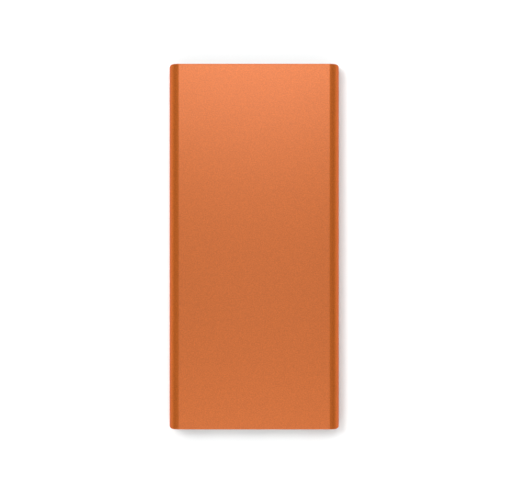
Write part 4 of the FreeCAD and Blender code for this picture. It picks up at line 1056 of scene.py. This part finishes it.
# The maker, the dark and the light colour, the range of roughness, the grain and its relief in
# millimetres, and then whatever else the maker takes.
SLOT_LOOKS = {
    "anodised_aluminium": (anodised,),
    "button_aluminium": (turned,),
    "fascia_plastic": (moulded, BLACK, SOFT_BLACK, (0.46, 0.6), 0.14, 0.022, {"flow": 3}),
    "bulkhead_plastic": (moulded, BLACK, (0.022, 0.022, 0.023), (0.4, 0.52), 0.4, 0.006),
    "tray_plastic": (moulded, (0.24, 0.24, 0.23), (0.3, 0.3, 0.28), (0.42, 0.55), 0.3, 0.006),
    "adhesive_tape": (moulded, (0.56, 0.54, 0.47), (0.66, 0.64, 0.57), (0.35, 0.5), 0.5, 0.01,
                      {"flow": 1.2, "Transmission_Weight": 0.15}),
    "screw_steel": (metal, (0.34, 0.34, 0.36), (0.5, 0.5, 0.5), (0.24, 0.38), 0.25, 0.002),
    "socket_steel": (metal, (0.62, 0.61, 0.58), (0.74, 0.73, 0.7), (0.2, 0.3), 0.3, 0.001, DRAWN),
    "insulator_plastic": (moulded, (0.62, 0.62, 0.59), (0.7, 0.7, 0.68), (0.45, 0.6), 0.25, 0.006),
    "micro_insulator_plastic": (moulded, BLACK, (0.02, 0.02, 0.02), (0.45, 0.6), 0.2, 0.006),
    "contact_metal": (metal, (0.72, 0.46, 0.15), (0.84, 0.58, 0.24), (0.16, 0.28), 0.2, 0.002, DRAWN),
    "switch_plastic": (moulded, (0.012, 0.012, 0.012), (0.024, 0.024, 0.024), (0.45, 0.6), 0.2, 0.006),
    "plunger_plastic": (moulded, (0.5, 0.48, 0.42), (0.6, 0.58, 0.52), (0.35, 0.5), 0.3, 0.006),
    "dome_steel": (metal, (0.46, 0.46, 0.46), (0.56, 0.56, 0.55), (0.14, 0.26), 0.2, 0.002),
    "clear_acrylic": (frosted, *CLEAR, (0.22, 0.36), {"Transmission_Weight": 0.85}),
    "led_resin": (speckled, (0.72, 0.58, 0.14), (0.84, 0.8, 0.58), (0.3, 0.42), 0.09, 0.004,
                  {"Coat_Weight": 0.4}),
    "circuit_board": (board_mask,),
    "chip_resin": (moulded, (0.014, 0.014, 0.016), (0.026, 0.026, 0.029), (0.5, 0.66), 0.1, 0.01),
    "ferrite": (speckled, (0.02, 0.02, 0.021), (0.05, 0.049, 0.048), (0.45, 0.65), 0.16, 0.012),
    "tantalum_resin": (moulded, (0.62, 0.34, 0.012), (0.72, 0.42, 0.02), (0.4, 0.54), 0.12, 0.008),
    "ceramic": (speckled, (0.26, 0.17, 0.085), (0.36, 0.25, 0.14), (0.34, 0.48), 0.1, 0.004),
    "pouch_foil": (foil,),
    "tab_aluminium": (metal, (0.6, 0.6, 0.61), (0.7, 0.7, 0.71), (0.26, 0.4), 0.3, 0.002, DRAWN),
    "tab_nickel": (metal, (0.44, 0.42, 0.38), (0.54, 0.52, 0.47), (0.2, 0.34), 0.3, 0.002, DRAWN),
    "kapton": (frosted, (0.62, 0.2, 0.012), (0.7, 0.26, 0.02), (0.12, 0.24), {"Coat_Weight": 0.5}),
    "clear_film": (frosted, *CLEAR, (0.1, 0.22), {"Transmission_Weight": 0.7}),
    "foam": (speckled, (0.008, 0.008, 0.008), (0.03, 0.03, 0.031), (0.75, 0.95), 0.28, 0.1),
    "red_insulation": (rubber, (0.36, 0.006, 0.005), (0.46, 0.012, 0.01)),
    "black_insulation": (rubber, (0.012, 0.012, 0.012), (0.022, 0.022, 0.022)),
    "solder": (metal, (0.5, 0.5, 0.51), (0.64, 0.64, 0.65), (0.2, 0.42), 0.35, 0.01),
}


def make_looks():
    """Every material slot's look."""
    made = {}
    for name, (maker, *values) in SLOT_LOOKS.items():
        constants = values.pop() if values and isinstance(values[-1], dict) else {}
        made[name] = maker(name, *values, **constants).material
    return made


# ---- Stage
def make_floor():
    """A white floor just under the object, with a very faint variation in its colour."""
    bm = bmesh.new()
    bmesh.ops.create_circle(bm, cap_ends=True, segments=96, radius=FLOOR_RADIUS)
    floor = add_object("floor", bm)
    floor.location.z = LOW.z - FLOOR_GAP
    look = Look("floor", Roughness=0.9, Specular_IOR_Level=0.1)
    look.colours(look.noise(400), (0.855, 0.87, 0.872), (0.875, 0.89, 0.892))
    floor.data.materials.append(look.material)
    return floor


def add_lamp(name, kind, place, aim, power):
    data = bpy.data.lights.new(name, kind)
    data.energy = power
    lamp = in_scene(name, data)
    lamp.location = place
    lamp.rotation_euler = (Vector(aim) - Vector(place)).to_track_quat("-Z", "Y").to_euler()
    return lamp


def light_world():
    """A pale studio, brighter beyond both ends, with its ceiling left to the softboxes."""
    world = bpy.data.worlds.new("studio")
    bpy.context.scene.world = world
    studio = Shading(world)
    background = studio.tree.nodes["Background"]
    direction = studio.node("ShaderNodeTexCoord").outputs["Generated"]
    x, y, z = studio.node("ShaderNodeSeparateXYZ", Vector=direction).outputs
    stops = ((0.0, 0.80), (0.15, 0.5), (0.52, 0.45), (0.58, 0.82), (0.80, 0.82), (0.86, 0.0))
    greys = [(height, (grey, grey, grey)) for height, grey in stops]
    studio.link(studio.ramp(z, greys), background.inputs["Color"])
    to_ends = studio.span(studio.product(y, y), 1.0, END_GAIN)
    to_right = studio.span(x, 1.0, RIGHT_GAIN)
    studio.link(studio.product(to_ends, to_right), background.inputs["Strength"])


def light_stage(floor):
    """Softboxes over the object, and a key that reaches only the floor, to cast the shadow."""
    light_world()
    key = add_lamp("key", "SUN", *KEY)
    key.data.angle = KEY_ANGLE
    floor_only = bpy.data.collections.new("floor_only")
    floor_only.objects.link(floor)
    key.light_linking.receiver_collection = floor_only
    for name, place, aim, size, power in SOFTBOXES:
        data = add_lamp(name, "AREA", place, aim, power).data
        data.shape, data.size, data.size_y = "RECTANGLE", *size


def add_camera():
    """Straight above the object, through a long lens."""
    data = bpy.data.cameras.new("camera")
    data.lens, data.sensor_width = 150, 36
    data.clip_start, data.clip_end = 0.01, 20
    camera = in_scene("camera", data)
    camera.location = (*CAMERA_PLACE, MIDDLE.z + VIEW_WIDTH * data.lens / data.sensor_width)
    bpy.context.scene.camera = camera


# ---- Assembly
def make_sockets():
    for side in ("left", "right"):
        shell, insulator, contacts = (f"usb_a_{side}_{part}" for part in ("shell", "insulator", "contacts"))
        make_port_shell(shell)
        make_port_insulator(insulator, contacts)
        make_contacts(contacts, thickness=0.2 * MM, foot=0.8 * MM, bow=0.42 * MM)
    make_micro_shell()
    make_micro_insulator()
    make_contacts("micro_usb_contacts", thickness=0.1 * MM, foot=0.5 * MM, bow=0.22 * MM)


def make_components():
    make_two_ended("ceramic_capacitors", along=1, end_share=0.24)
    make_two_ended("output_capacitors", along=0, end_share=0.2)
    make_two_ended("chip_resistors", along=1, end_share=0.22)
    make_two_ended("tantalum_capacitors", along=1, end_share=0.12)
    make_leaded("controller_chip", per_side=8, lead_width=0.22 * MM, lead_reach=0.3 * MM)
    make_leaded("mosfets", per_side=4, lead_width=0.42 * MM, lead_reach=0.45 * MM)
    make_leaded("protection_chips", per_side=3, lead_width=0.35 * MM, lead_reach=0.35 * MM)
    make_inductor()


bpy.context.scene.view_settings.view_transform = "Standard"
add_camera()
light_stage(make_floor())
LOOKS = make_looks()
# A CAD node that stays in view has the look of its slot.
for node, solid in frame["nodes"].items():
    solid.data.materials.clear()
    solid.data.materials.append(LOOKS[SLOT_OF[node]])
make_sleeve()
make_sockets()
make_button()
make_dome()
make_light_guide()
make_leds()
make_screws("port_end_screws", axis=1, tilt=90, height=0.73 * MM, shank=0.68 * MM)
make_screws("blind_end_screws", axis=1, tilt=-90, height=0.73 * MM, shank=0.68 * MM)
make_screws("board_screws", axis=2, tilt=0, height=0.7 * MM, shank=0.75 * MM)
make_components()
make_pouch()
make_foam("foam_pads")
make_foam("protection_spacer")
